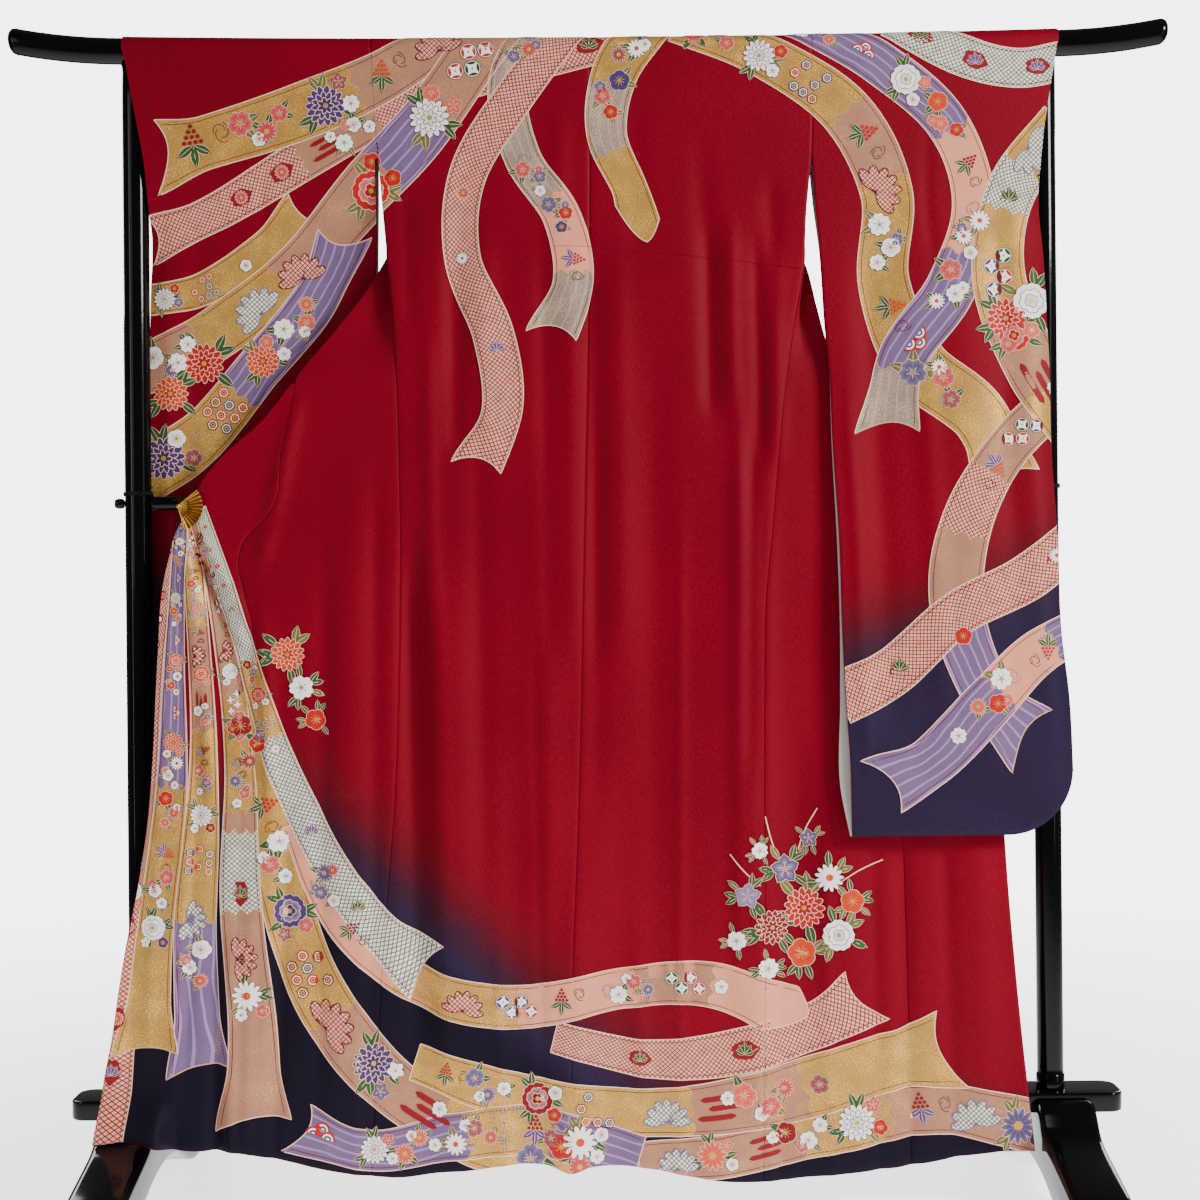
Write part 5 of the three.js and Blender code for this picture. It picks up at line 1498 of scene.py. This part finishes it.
def lathe_mesh(name, profile, axis="Z", centre=(0, 0, 0), sides=48):
    """A turned body from (radius, distance) pairs along an axis."""
    vertices = []
    for radius, distance in profile:
        for c, s in circle(radius, sides):
            point = {"Z": (c, s, distance), "X": (distance, c, s), "Y": (s, distance, c)}[axis]
            vertices.append(np.add(point, centre))
    return mesh_of(name, vertices, ring_faces(len(profile), sides))


def cleaned(mesh, merge=0.00002, sharp=40):
    """Merges doubled points, turns every face outwards and keeps real corners sharp."""
    bm = bmesh.new()
    bm.from_mesh(mesh)
    bmesh.ops.remove_doubles(bm, verts=bm.verts, dist=merge)
    bmesh.ops.recalc_face_normals(bm, faces=bm.faces)
    bm.to_mesh(mesh)
    bm.free()
    mesh.set_sharp_from_angle(angle=math.radians(sharp))
    return mesh


def rounded(radius, start, finish, corner):
    """Profile of a rod with rounded rims."""
    steps = [math.radians(a) for a in range(0, 91, 15)]
    first = [(radius - corner + corner * math.sin(a), start + corner - corner * math.cos(a)) for a in steps]
    second = [(radius - corner + corner * math.cos(a), finish - corner + corner * math.sin(a)) for a in steps]
    return [(0.01, start)] + first + second + [(0.01, finish)]


def build_bar():
    end, sides = 12, 64
    straight = BAR_UPTURN_FROM - 20
    xs = np.concatenate([np.linspace(-BAR_HALF + end, -straight, 20), np.linspace(-640, 640, 33),
                         np.linspace(straight, BAR_HALF - end, 20)])
    dome = [(math.cos(math.radians(a)), math.sin(math.radians(a))) for a in range(0, 90, 10)]
    rings = [(-BAR_HALF + end - end * s, 7 + end * c) for c, s in reversed(dome)]
    rings += [(x, BAR_RADIUS) for x in xs[1:-1]] + [(BAR_HALF - end + end * s, 7 + end * c) for c, s in dome]
    vertices = [(x, c, float(bar_axis(x)) + s) for x, radius in rings for c, s in circle(radius, sides)]
    mesh = mesh_of("bar_lacquered", vertices, ring_faces(len(rings), sides))
    stand_part("bar_lacquered", cleaned(mesh), "top_bar")


def build_posts():
    bottom = RAIL_TOP + GAP
    top = float(bar_axis(POST_X - POST_RADIUS)) - BAR_RADIUS - GAP
    profile = [(0.01, bottom), (19.5, bottom), (20.5, bottom + 1), (20.5, bottom + 19), (19.6, bottom + 20.5),
               (POST_RADIUS, bottom + 22)]
    profile += [(POST_RADIUS, z) for z in np.linspace(bottom + 30, top - 1, 30)]
    profile += [(POST_RADIUS - 0.8, top), (0.01, top)]
    for name, side in SIDES:
        mesh = lathe_mesh(f"post_lacquered_{name}", profile, "Z", (side * POST_X, 0, 0))
        stand_part(f"post_lacquered_{name}", cleaned(mesh), f"post_{name}")


def extruded(name, outline, bottom, top, place, bevel, segments):
    """A closed outline drawn between two planes, with rounded rims; place turns (a, b, t) into (x, y, z)."""
    n = len(outline)
    vertices = [place(a, b, t) for t in (bottom, top) for a, b in outline]
    faces = [tuple(range(n)), tuple(range(n, 2 * n))]
    faces += [(i, (i + 1) % n, n + (i + 1) % n, n + i) for i in range(n)]
    mesh = mesh_of(name, vertices, faces)
    bm = bmesh.new()
    bm.from_mesh(mesh)
    bmesh.ops.recalc_face_normals(bm, faces=bm.faces)
    rims = [e for e in bm.edges if any(len(f.verts) == n for f in e.link_faces)]
    bmesh.ops.bevel(bm, geom=rims, offset=bevel * MM, segments=segments, profile=0.5, affect="EDGES",
                    clamp_overlap=False)
    bm.to_mesh(mesh)
    bm.free()
    return mesh


def build_rail():
    outline = []
    for x, y, start in ((1, 1, 0), (-1, 1, 90), (-1, -1, 180), (1, -1, 270)):
        for a in range(0, 91, 10):
            angle = math.radians(start + a)
            outline.append((x * (RAIL_HALF - RAIL_CORNER) + RAIL_CORNER * math.cos(angle),
                            y * (RAIL_DEPTH / 2 - RAIL_CORNER) + RAIL_CORNER * math.sin(angle)))
    mesh = extruded("rail_lacquered", outline, RAIL_BOTTOM, RAIL_TOP, lambda a, b, t: (a, b, t), 3, 4)
    stand_part("rail_lacquered", cleaned(mesh), "low_rail")


# Upper outline of half a foot, as rows of (distance, height).
FOOT_TOP = [
    (285, 12), (285, 36), (277, 58), (259, 70), (219, 80), (165, 92), (118, 102), (91, 111), (80, 124), (71, 136),
    (60, 146), (50, 150),
]


def foot_outline():
    half = [(FOOT_REACH, 0)] + FOOT_TOP
    fine = []
    for (a, b), (c, d) in zip(half, half[1:]):
        fine += [(a, b), ((a + c) / 2, (b + d) / 2)]
    fine = np.array(fine + [half[-1]], float)
    for _ in range(2):
        fine[1:-1] = (fine[:-2] + 2 * fine[1:-1] + fine[2:]) / 4
    fine = [tuple(point) for point in fine]
    arch = [(bezier(-FOOT_REACH + 62, -FOOT_REACH + 92, -110, 0, t), bezier(0, 0, 56, 56, t))
            for t in np.linspace(0, 1, 17)]
    under = [(-FOOT_REACH, 0)] + arch + [(-y, z) for y, z in reversed(arch[:-1])]
    return under + fine + [(-y, z) for y, z in reversed(fine[1:])]


def build_feet():
    """Arched feet, each with a notch that takes the rail."""
    seat = RAIL_BOTTOM - GAP
    reach = RAIL_DEPTH / 2 + GAP
    for name, side in SIDES:
        centre = side * FOOT_X
        whole = extruded("foot", foot_outline(), -FOOT_WIDTH / 2, FOOT_WIDTH / 2,
                         lambda a, b, t: (centre + t, a, b), 11, 6)
        block = bpy.data.meshes.new("notch")
        corners = [(centre + x * FOOT_WIDTH, y * reach, seat + z * 60)
                   for x in (-1, 1) for y in (-1, 1) for z in (0, 1)]
        block.from_pydata([[v * MM for v in c] for c in corners], [],
                          [(0, 1, 3, 2), (4, 6, 7, 5), (0, 4, 5, 1), (2, 3, 7, 6), (0, 2, 6, 4), (1, 5, 7, 3)])
        foot, cutter = (bpy.data.objects.new(mesh.name, mesh) for mesh in (whole, block))
        for thing in (foot, cutter):
            bpy.context.scene.collection.objects.link(thing)
        cut = foot.modifiers.new("notch", "BOOLEAN")
        cut.operation, cut.object, cut.solver = "DIFFERENCE", cutter, "EXACT"
        bpy.context.view_layer.update()
        done = bpy.data.meshes.new_from_object(foot.evaluated_get(bpy.context.evaluated_depsgraph_get()))
        for thing in (foot, cutter):
            bpy.data.objects.remove(thing)
        done.name = f"foot_lacquered_{name}"
        done.materials.clear()
        done.polygons.foreach_set("use_smooth", [True] * len(done.polygons))
        stand_part(done.name, cleaned(done), f"foot_{name}")


def build_arms():
    """The rods that hold the clips; the left one is pegged through its post and has a knob outside."""
    inner = POST_X - POST_RADIUS - 3 * GAP
    outer = POST_X + POST_RADIUS
    rod = rounded(ARM_RADIUS, ARM_END, inner, 1.5)[:-1] + [(4, inner)]
    knob = rod + [(4, outer + 1.4), (6.2, outer + 2), (7.5, outer + 4.5), (7.5, outer + 11), (6, outer + 14.5),
                  (0.01, outer + 16)]
    peg = rod + [(4, POST_X + 12), (0.01, POST_X + 12)]
    for (name, side), profile in zip(SIDES, (knob, peg)):
        mesh = lathe_mesh(f"arm_lacquered_{name}", [(r, side * d) for r, d in profile], "X", (0, 0, ARM_Z), 32)
        stand_part(f"arm_lacquered_{name}", cleaned(mesh), f"arm_{name}")


def tube(route, radius, sides=10, closed=False):
    """Vertices and faces of a tube along points."""
    route = np.asarray(route, float)
    way = unit(np.roll(route, -1, 0) - np.roll(route, 1, 0) if closed else np.gradient(route, axis=0))
    across = unit(np.cross(way, (0.013, 0.021, 1.0)))
    other = np.cross(way, across)
    vertices = np.stack([route + across * c + other * s for c, s in circle(radius, sides)], 1).reshape(-1, 3)
    return vertices, ring_faces(len(route), sides, closed)


def joined(parts):
    vertices, faces, count = [], [], 0
    for points, polygons in parts:
        vertices.append(np.asarray(points, float))
        faces += [tuple(i + count for i in f) for f in polygons]
        count += len(points)
    return np.concatenate(vertices), faces


def build_ties():
    """The black cord wound three times round each post above its arm, with its knot."""
    radius = POST_RADIUS + GAP + 1.2
    middle = ARM_Z + ARM_RADIUS + 3.8
    for name, side in SIDES:
        helix = [(side * POST_X + radius * math.cos(6 * math.pi * t), radius * math.sin(6 * math.pi * t),
                  middle - 2.6 + 5.2 * t) for t in np.linspace(0, 1, 120)]
        knot_x, knot_y = side * POST_X - side * 8, -radius * 0.93 - 2.4
        knot = [(knot_x + 3.4 * math.cos(a) * (1 + 0.3 * math.cos(2 * a)), knot_y - 0.7 * math.sin(3 * a),
                 middle + 2.4 * math.sin(a)) for a in np.linspace(0, 2 * math.pi, 24)[:-1]]
        mesh = mesh_of(f"tie_wound_{name}", *joined([tube(helix, 1.1), tube(knot, 1.0, closed=True)]))
        stand_part(f"tie_wound_{name}", cleaned(mesh, 0.0), f"tie_{name}", "cord")


def build_fan():
    """A small gilt fan: pleated leaf with a turned rim, sticks, guards and a rivet."""
    low, high, pleats = -74, 39, 11
    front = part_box("fan_left")[1][1] / MM

    def sheet(inner, outer, base, ridge, thickness):
        points, faces = [], []
        for i in range(pleats * 2 + 1):
            a = math.radians(lerp(low, high, i / (pleats * 2)))
            lift = ridge if i % 2 else 0.0
            for r in (inner, (inner + outer) / 2, outer):
                for back in (0, 1):
                    y = front - base - lift * (r / outer) + back * thickness
                    points.append((FAN_X + r * math.cos(a), y, FAN_Z + r * math.sin(a)))
        for i in range(pleats * 2):
            a, b = 6 * i, 6 * (i + 1)
            for k in (0, 2):
                faces += [(a + k, a + k + 2, b + k + 2, b + k), (a + k + 1, b + k + 1, b + k + 3, a + k + 3)]
            faces += [(a, b, b + 1, a + 1), (a + 4, a + 5, b + 5, b + 4)]
        last = 6 * pleats * 2
        for k in (0, 2):
            faces += [(k, k + 1, k + 3, k + 2), (last + k, last + k + 2, last + k + 3, last + k + 1)]
        return points, faces

    parts = [sheet(5, FAN_RADIUS, 0.6, 3.4, 0.8), sheet(FAN_RADIUS - 2.2, FAN_RADIUS - 0.2, 1.1, 3.3, 0.9),
             sheet(14.6, 16.2, 1.3, 3.2, 0.9)]
    for i in range(11):
        a = math.radians(lerp(low, high, i / 10))
        proud, length, thick = (0.8, FAN_RADIUS, 0.95) if i in (0, 10) else (0.2, 16, 0.7)
        route = [(FAN_X + r * math.cos(a), front - 1.5 - proud, FAN_Z + r * math.sin(a))
                 for r in np.linspace(1.5, length, 8)]
        parts.append(tube(route, thick, 8))
    rivet = [(0.01, -4.3), (1.6, -4.1), (2.6, -3.4), (2.8, -2.2), (2.8, -0.3), (0.01, -0.3)]
    pin = lathe_mesh("rivet", rivet, "Y", (FAN_X, front, FAN_Z), 20)
    parts.append(([tuple(np.array(v.co) / MM) for v in pin.vertices], [tuple(p.vertices) for p in pin.polygons]))
    bpy.data.meshes.remove(pin)
    mesh = mesh_of("fan_gilt", *joined(parts), smooth_faces=False)
    stand_part("fan_gilt", cleaned(mesh, 0.0, 20), "fan_left", "gilt")


# ---------------------------------------------------------------- settings
def colour(name, description, default):
    return bpy.props.FloatVectorProperty(name=name, description=description, size=3, subtype="COLOR", min=0, max=1,
                                         default=default)


class KimonoSettings(bpy.types.PropertyGroup):
    red: colour("Red", "Ground of the silk", (0.165, 0.0012, 0.0095))
    wine: colour("Wine", "First step of the shading to dark", (0.095, 0.0036, 0.0100))
    plum: colour("Plum", "Second step of the shading", (0.036, 0.0080, 0.0190))
    # On the lower body and hem this navy is darkened further, to 0.36, as painted shade; the sleeve ends show it as
    # it is.
    navy: colour("Navy", "Dark dye of hem and sleeve ends", (0.018, 0.0110, 0.0330))
    lining: colour("Lining", "Colour of the silk lining", (0.36, 0.34, 0.33))
    gold: colour("Gold", "Gold of bands and fan", (0.455, 0.240, 0.052))
    lacquer: colour("Lacquer", "Colour of the stand", (0.0015, 0.0015, 0.0020))
    grain: bpy.props.FloatProperty(
        name="Grain", description="Strength of the crepe's crinkle", min=0, max=3, default=1.0, subtype="FACTOR")
    row_step: bpy.props.FloatProperty(
        name="Row step", description="Millimetres between rows of the cloth's mesh", min=6, max=30, default=11.0)
    column_step: bpy.props.FloatProperty(
        name="Column step", description="Millimetres between columns of the cloth's mesh", min=2, max=12, default=3.6)
    seed: bpy.props.IntProperty(name="Seed", description="Scatter of the flowers", min=0, default=11)
    flowers: bpy.props.BoolProperty(name="Flowers", description="Lay flowers on the bands", default=True)


def shares(width):
    """Even shares across a panel, one for each column of its mesh."""
    return np.linspace(0, 1, int(width / bpy.context.scene.kimono.column_step) + 1)


# ---------------------------------------------------------------- operators
class KIMONO_OT_camera(bpy.types.Operator):
    """Set the camera square to the back of the kimono"""

    bl_idname = "kimono.camera"
    bl_label = "Camera"

    def execute(self, context):
        data = bpy.data.cameras.new("camera")
        data.sensor_width = data.sensor_height = 36
        data.lens = 57.53
        data.clip_end = 50
        camera = bpy.data.objects.new("camera", data)
        context.scene.collection.objects.link(camera)
        tilt = Matrix.Rotation(math.radians(90), 4, "X") @ Matrix.Rotation(math.radians(-0.5), 4, "Z")
        camera.matrix_world = Matrix.Translation((0.0107, -2.8, 0.8744)) @ tilt
        context.scene.camera = camera
        return {"FINISHED"}


class KIMONO_OT_backs(bpy.types.Operator):
    """Make the two back panels, which meet at the centre seam"""

    bl_idname = "kimono.backs"
    bl_label = "Back panels"

    def execute(self, context):
        for name, side, line in (("left", -1, SIDE_LEFT), ("right", 1, SIDE_RIGHT)):
            def x_at(z, c):
                return lerp(read(CENTRE, z) + side * HALF_GAP, read(line, z) - side * HALF_GAP, c)

            x, h = body_grid(x_at, shares(305), context.scene.kimono.row_step)
            grid = back_point(x, h)
            piece = cloth_piece(f"silk_back_{name}", grid, np.stack([x, h], -1), -side,
                                dye_and_shade_body(x, grid[..., 2]), ("bottom",), RED_LINING_BELOW)
            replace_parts(piece, f"back_{name}")
        return {"FINISHED"}


class KIMONO_OT_fronts(bpy.types.Operator):
    """Make the fronts, which turn round their side seams, and the overlap panels sewn to them"""

    bl_idname = "kimono.fronts"
    bl_label = "Front and overlap panels"

    def execute(self, context):
        step = context.scene.kimono.row_step
        for name, side, seam, top in (("left", -1, OVERLAP_LEFT, 1205), ("right", 1, OVERLAP_RIGHT, 1160)):
            edge = edge_line(side)

            def x_at(z, c):
                nearer = np.maximum if side < 0 else np.minimum
                start = read(side_line(side), z) - side * HALF_GAP * np.where(z > ARMPIT, 1, -1)
                line = read(edge, z)
                return lerp(start, np.where(z > top, line, nearer(line, read(seam, z)) - side * HALF_GAP), c)

            columns = shares(300)
            x, h = body_grid(x_at, columns, step)
            z = np.minimum(h, BAR_TOP_MIDDLE)
            c = np.broadcast_to(columns, x.shape)
            turned_x, turned_y = turned_section(side, z, c)
            flat = smooth(FLAT_ABOVE, FLAT_BELOW, z)
            place_x = np.where(h > bar_axis(x), x, lerp(turned_x, x, flat))
            grid = over_bar(place_x, h, 1, lerp(turned_y, near_depth(x, z), flat))
            uv = np.stack([c * 245 + side * 300, h], -1)
            dye_and_shade = dye_and_shade_body(grid[..., 0], grid[..., 2])
            piece = cloth_piece(f"silk_front_{name}", grid, uv, -side, dye_and_shade, ("bottom",), RED_LINING_BELOW)
            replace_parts(piece, f"front_{name}")

            def overlap_x(z, c):
                return lerp(read(seam, z) + side * HALF_GAP, read(edge, z), c)

            x, h = body_grid(overlap_x, shares(180), step, from_height=top - 12)
            grid = np.stack([x, near_depth(x, h), h], -1)
            piece = cloth_piece(f"silk_overlap_{name}", grid, np.stack([x, h], -1), -side, dye_and_shade_body(x, h),
                                ("bottom", "last"), RED_LINING_BELOW)
            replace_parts(piece, f"okumi_{name}")
        return {"FINISHED"}


class KIMONO_OT_collar(bpy.types.Operator):
    """Make the two halves of the collar, folded behind the neck and the front edges"""

    bl_idname = "kimono.collar"
    bl_label = "Collar"

    def execute(self, context):
        for name, side in SIDES:
            grid = collar_grid(side)
            rows, columns = grid.shape[:2]
            along = np.cumsum(np.concatenate([[0], np.linalg.norm(np.diff(grid[:, 0], axis=0), axis=1)]))
            uv = np.stack(np.meshgrid(np.linspace(0, COLLAR_WIDTH, columns), along), -1)
            piece = cloth_piece(f"silk_collar_{name}", grid, uv, side, np.zeros((rows, columns)),
                                ("bottom", "last"), lined=False)
            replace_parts(piece, f"collar_{name}")
        return {"FINISHED"}


def behind_front(side, x, z):
    """Depth of the front's rearmost layer near the collar line."""
    line = read(edge_line(side), z)
    inward = side * (line - x)
    depth = read(TURN_OUT, z, 2)
    for c in np.arange(1, 0.3, -0.02):
        section_x, section_y = turned_section(side, z, np.full(np.shape(z), c))
        depth = np.where(side * (line - section_x) <= inward + 6, np.maximum(depth, section_y), depth)
    return lerp(depth, near_depth(x, z), smooth(FLAT_ABOVE, FLAT_BELOW, z))


def collar_slope(side, z):
    line = edge_line(side)
    return np.arctan2(20, side * (read(line, z - 20) - read(line, z)))


def collar_grid(side):
    """Rows from the centre back round the neck corner and down the front to the clip."""
    bend = math.pi / 2 * CLOTH_RADIUS
    radius = CLOTH_RADIUS + COLLAR_PROUD
    bent = bend / COLLAR_WIDTH
    columns = np.concatenate([np.linspace(0, bent, 9), np.linspace(bent, 1, 9)[1:]])
    centre = float(read(CENTRE, BAR_TOP_MIDDLE))
    rows = []

    def over(x, length, arc=bend, drop=1.0):
        """A point at a length down the collar: on the bar up to the arc, then hanging."""
        turn = np.clip(length / bend + (bend - arc) / bend, 0, 1)
        angle = (1 - turn) * (math.pi / 2)
        past = np.maximum(0, length - arc)
        y = np.where(past > 0, radius, radius * np.cos(angle))
        z = bar_axis(x) + np.where(past > 0, -drop * past, radius * np.sin(angle))
        return np.stack(np.broadcast_arrays(x, y, z), -1)

    for share in np.linspace(0, 0.9, 12):
        x = lerp(centre + side * HALF_GAP, side * NECK_HALF, share)
        xs = lerp(x, x * 0.82, columns * share)
        rows.append(over(xs, columns * COLLAR_WIDTH))
    for turn in np.linspace(0.1, 0.9, 9):
        arc = (1 - turn) * bend
        sweep = float(collar_slope(side, 1640)) * turn
        i = np.arange(len(columns))
        past = (i - 8) / (len(columns) - 9)
        length = np.where(i <= 8, arc * i / 8, lerp(arc, COLLAR_WIDTH, past))
        x = side * (NECK_HALF + 2 * turn - math.sin(sweep) * length)
        rows.append(over(x, length, arc, math.cos(sweep)))
    for z in np.concatenate([[1640, 1622], np.arange(1606, COLLAR_LOWEST, -12), [COLLAR_LOWEST]]):
        slope = float(collar_slope(side, z))
        x = read(edge_line(side), z) - side * math.sin(slope) * COLLAR_WIDTH * columns
        down = z - math.cos(slope) * COLLAR_WIDTH * columns
        rows.append(np.stack([x, behind_front(side, x, down) + read(COLLAR_BEHIND, z), down], -1))
    grid = np.array(rows)
    for _ in range(3):
        soft = (grid[2:] + grid[:-2] + 2 * grid[1:-1]) / 4
        grid[24:-1] = soft[23:]
    return grid


def sleeve_grid(sleeve, layer, step):
    """x and height of every point of half a sleeve; its last rows follow the rounded bottom edge."""
    flat = shares(340)
    flat = flat[flat < SLEEVE_FLAT_SHARE]
    turn = np.sin(np.radians(np.linspace(0, 90, 25)))
    share = np.concatenate([flat[:-1] / flat[-1], np.ones(len(turn))])
    corner = np.concatenate([np.zeros(len(flat) - 1), sleeve["side"] * CORNER_RADIUS * turn])
    levels = [("level", z) for z in np.arange(TOP_ROW, SLEEVE_LOW_FROM, -step)]
    xs, hs = [], []
    for kind, value in arc_rows() + levels + [("low", t) for t in np.linspace(0, 1, 18)]:
        first = {"arc": BAR_TOP_MIDDLE, "level": value, "low": (SLEEVE_LOW_FROM + SLEEVE_BOTTOM) / 2}[kind]
        z = np.full(len(share), float(first))
        for _ in range(2):
            inner, outer = sleeve_inner(sleeve, layer, z), read(sleeve[layer], z, 2)
            x = lerp(inner, outer - sleeve["side"] * CORNER_RADIUS, share) + corner
            if kind == "low":
                z = lerp(SLEEVE_LOW_FROM, sleeve_floor(sleeve, x), value)
        xs.append(x)
        hs.append(bar_axis(x) + value if kind == "arc" else z)
    return np.array(xs), np.array(hs)


class KIMONO_OT_sleeves(bpy.types.Operator):
    """Make both long sleeves, each a near and a far half that meet at the sewn edges"""

    bl_idname = "kimono.sleeves"
    bl_label = "Sleeves"

    def execute(self, context):
        for name, sleeve in SLEEVES.items():
            for layer, away in (("near", -1), ("far", 1)):
                x, h = sleeve_grid(sleeve, layer, context.scene.kimono.row_step)
                grid = sleeve_point(sleeve, layer)(x, h)
                piece = cloth_piece(f"silk_sleeve_{name}_{layer}", grid, np.stack([x, h], -1),
                                    sleeve["side"] * away, dye_sleeve(x, grid[..., 2]), ("first",))
                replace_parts(piece, f"sleeve_{name}_{layer}")
        return {"FINISHED"}


class KIMONO_OT_stitches(bpy.types.Operator):
    """Lay the tuck across the back as a narrow step in the silk"""

    bl_idname = "kimono.stitches"
    bl_label = "Tuck seam"

    def execute(self, context):
        x = np.arange(-303, 316, 4.0)
        heights = read(TUCK, x) + np.array([7, 3, 0, -0.6, -0.9])[:, None]
        lifts = np.array([-0.4, 0.35, 0.85, 0.5, -0.5])[:, None] * np.ones_like(heights)
        spread = np.broadcast_to(x, heights.shape)
        back = make_surfaces()["body"]["upper"][0]
        laid = back.lay(spread.ravel(), heights.ravel(), lifts.ravel())
        uv = np.stack([spread.ravel(), heights.ravel()], -1)
        faces = flipped(quads(np.arange(heights.size).reshape(heights.shape)))
        mesh = mesh_of("tuck_seam", laid, faces, uv, dye_and_shade=np.zeros(heights.size))
        new_object("tuck_seam", mesh, [material("crepe")])
        return {"FINISHED"}


class KIMONO_OT_dyeing(bpy.types.Operator):
    """Lay the dyed bands with their outlines, and the flowers and leaves on them"""

    bl_idname = "kimono.dyeing"
    bl_label = "Bands and flowers"

    def execute(self, context):
        settings = context.scene.kimono
        dice = random.Random(settings.seed)
        stencil = Stencil()
        bands = [Band(on, *row) for on, rows in BANDS.items() for row in rows]
        for band in bands:
            band.lay(stencil)
            if settings.flowers:
                decorate(stencil, band, bands, dice)
        if settings.flowers:
            clusters(stencil, dice)
        kinds = sorted({kind for _, kind in stencil.parts} - {"painted", "gold_thread"})
        for cloth, surfaces in make_surfaces().items():
            stencil.build(surfaces, kinds, f"dyed_bands_{cloth}")
            stencil.build(surfaces, ["painted", "gold_thread"], f"dyed_flowers_{cloth}")
        return {"FINISHED"}


class KIMONO_OT_stand(bpy.types.Operator):
    """Make the lacquered bar, posts, rail and feet"""

    bl_idname = "kimono.stand"
    bl_label = "Stand"

    def execute(self, context):
        build_bar()
        build_posts()
        build_rail()
        build_feet()
        return {"FINISHED"}


class KIMONO_OT_fastenings(bpy.types.Operator):
    """Make the arms, their cords and the gilt fan, and give the clips their finishes"""

    bl_idname = "kimono.fastenings"
    bl_label = "Arms, cords and clips"

    def execute(self, context):
        build_arms()
        build_ties()
        build_fan()
        for node, finish in (("clip_left", "dark_gilt"), ("clip_right", "lacquer")):
            mesh = NODES[node].data
            mesh.materials.clear()
            mesh.materials.append(material(finish))
        return {"FINISHED"}


class KIMONO_OT_studio(bpy.types.Operator):
    """Set the pale floor, the soft lights and the bright surroundings"""

    bl_idname = "kimono.studio"
    bl_label = "Studio"

    def execute(self, context):
        rim = [(x, y, 0) for x, y in circle(FLOOR_RADIUS, 64)]
        floor_mesh = bpy.data.meshes.new("floor")
        floor_mesh.from_pydata(rim, [], [tuple(range(len(rim)))])
        floor_mesh.materials.append(material("floor"))
        floor = bpy.data.objects.new("floor", floor_mesh)
        context.scene.collection.objects.link(floor)
        lights = [
            ("key", (3.3, -2.0, 2.5), (0, 0, 0.9), (1.1, 1.1), 250),
            ("fill", (-2.9, -2.9, 1.9), (0, 0, 0.9), (2.0, 2.0), 22),
            ("strip_left", (-2.2, -1.5, 1.2), (-0.4, 0, 1.0), (0.1, 1.9), 6),
            ("strip_right", (2.2, -1.5, 1.2), (0.4, 0, 1.0), (0.1, 1.9), 6),
            ("overhead", (0, -1.6, 3.6), (0, 0.2, 0.8), (2.2, 0.5), 14),
            ("behind_left", (-2.6, 2.2, 2.4), (0.2, 0, 0.9), (1.4, 1.4), 90),
            ("behind_right", (2.4, 2.8, 1.6), (-0.2, 0, 0.9), (1.4, 1.4), 60),
        ]
        for name, place, aim, size, power in lights:
            data = bpy.data.lights.new(name, "AREA")
            data.shape = "RECTANGLE"
            data.size, data.size_y = size
            data.energy = power
            light = bpy.data.objects.new(name, data)
            light.location = place
            x, y, z = np.array(aim) - np.array(place)
            light.rotation_euler = (math.atan2(math.hypot(x, y), -z), 0, math.atan2(y, x) - math.pi / 2)
            context.scene.collection.objects.link(light)
        world = bpy.data.worlds.new("surroundings")
        context.scene.world = world
        world.use_nodes = True
        tree = world.node_tree
        background = tree.nodes["Background"]
        background.inputs["Color"].default_value = (0.98, 0.99, 1.0, 1)
        seen = times(tree, add(tree, "ShaderNodeLightPath").outputs["Is Camera Ray"], SEEN_WHITE)
        tree.links.new(maths(tree, "ADD", seen, AMBIENT), background.inputs["Strength"])
        return {"FINISHED"}


class KIMONO_PT_panel(bpy.types.Panel):
    """The steps that build the kimono"""

    bl_idname = "KIMONO_PT_panel"
    bl_label = "Furisode"
    bl_space_type = "VIEW_3D"
    bl_region_type = "UI"
    bl_category = "Kimono"

    def draw(self, context):
        column = self.layout.column()
        for step in STEPS:
            column.operator(step.bl_idname)
        for name in KimonoSettings.__annotations__:
            column.prop(context.scene.kimono, name)


STEPS = (
    KIMONO_OT_camera, KIMONO_OT_stand, KIMONO_OT_backs, KIMONO_OT_fronts, KIMONO_OT_collar, KIMONO_OT_sleeves,
    KIMONO_OT_stitches, KIMONO_OT_dyeing, KIMONO_OT_fastenings, KIMONO_OT_studio,
)
CLASSES = (KimonoSettings, *STEPS, KIMONO_PT_panel)


def register():
    for item in CLASSES:
        bpy.utils.register_class(item)
    bpy.types.Scene.kimono = bpy.props.PointerProperty(type=KimonoSettings)


def unregister():
    del bpy.types.Scene.kimono
    for item in reversed(CLASSES):
        bpy.utils.unregister_class(item)


def main():
    register()
    for step in STEPS:
        group, action = step.bl_idname.split(".")
        getattr(getattr(bpy.ops, group), action)()


if __name__ == "__main__":
    main()
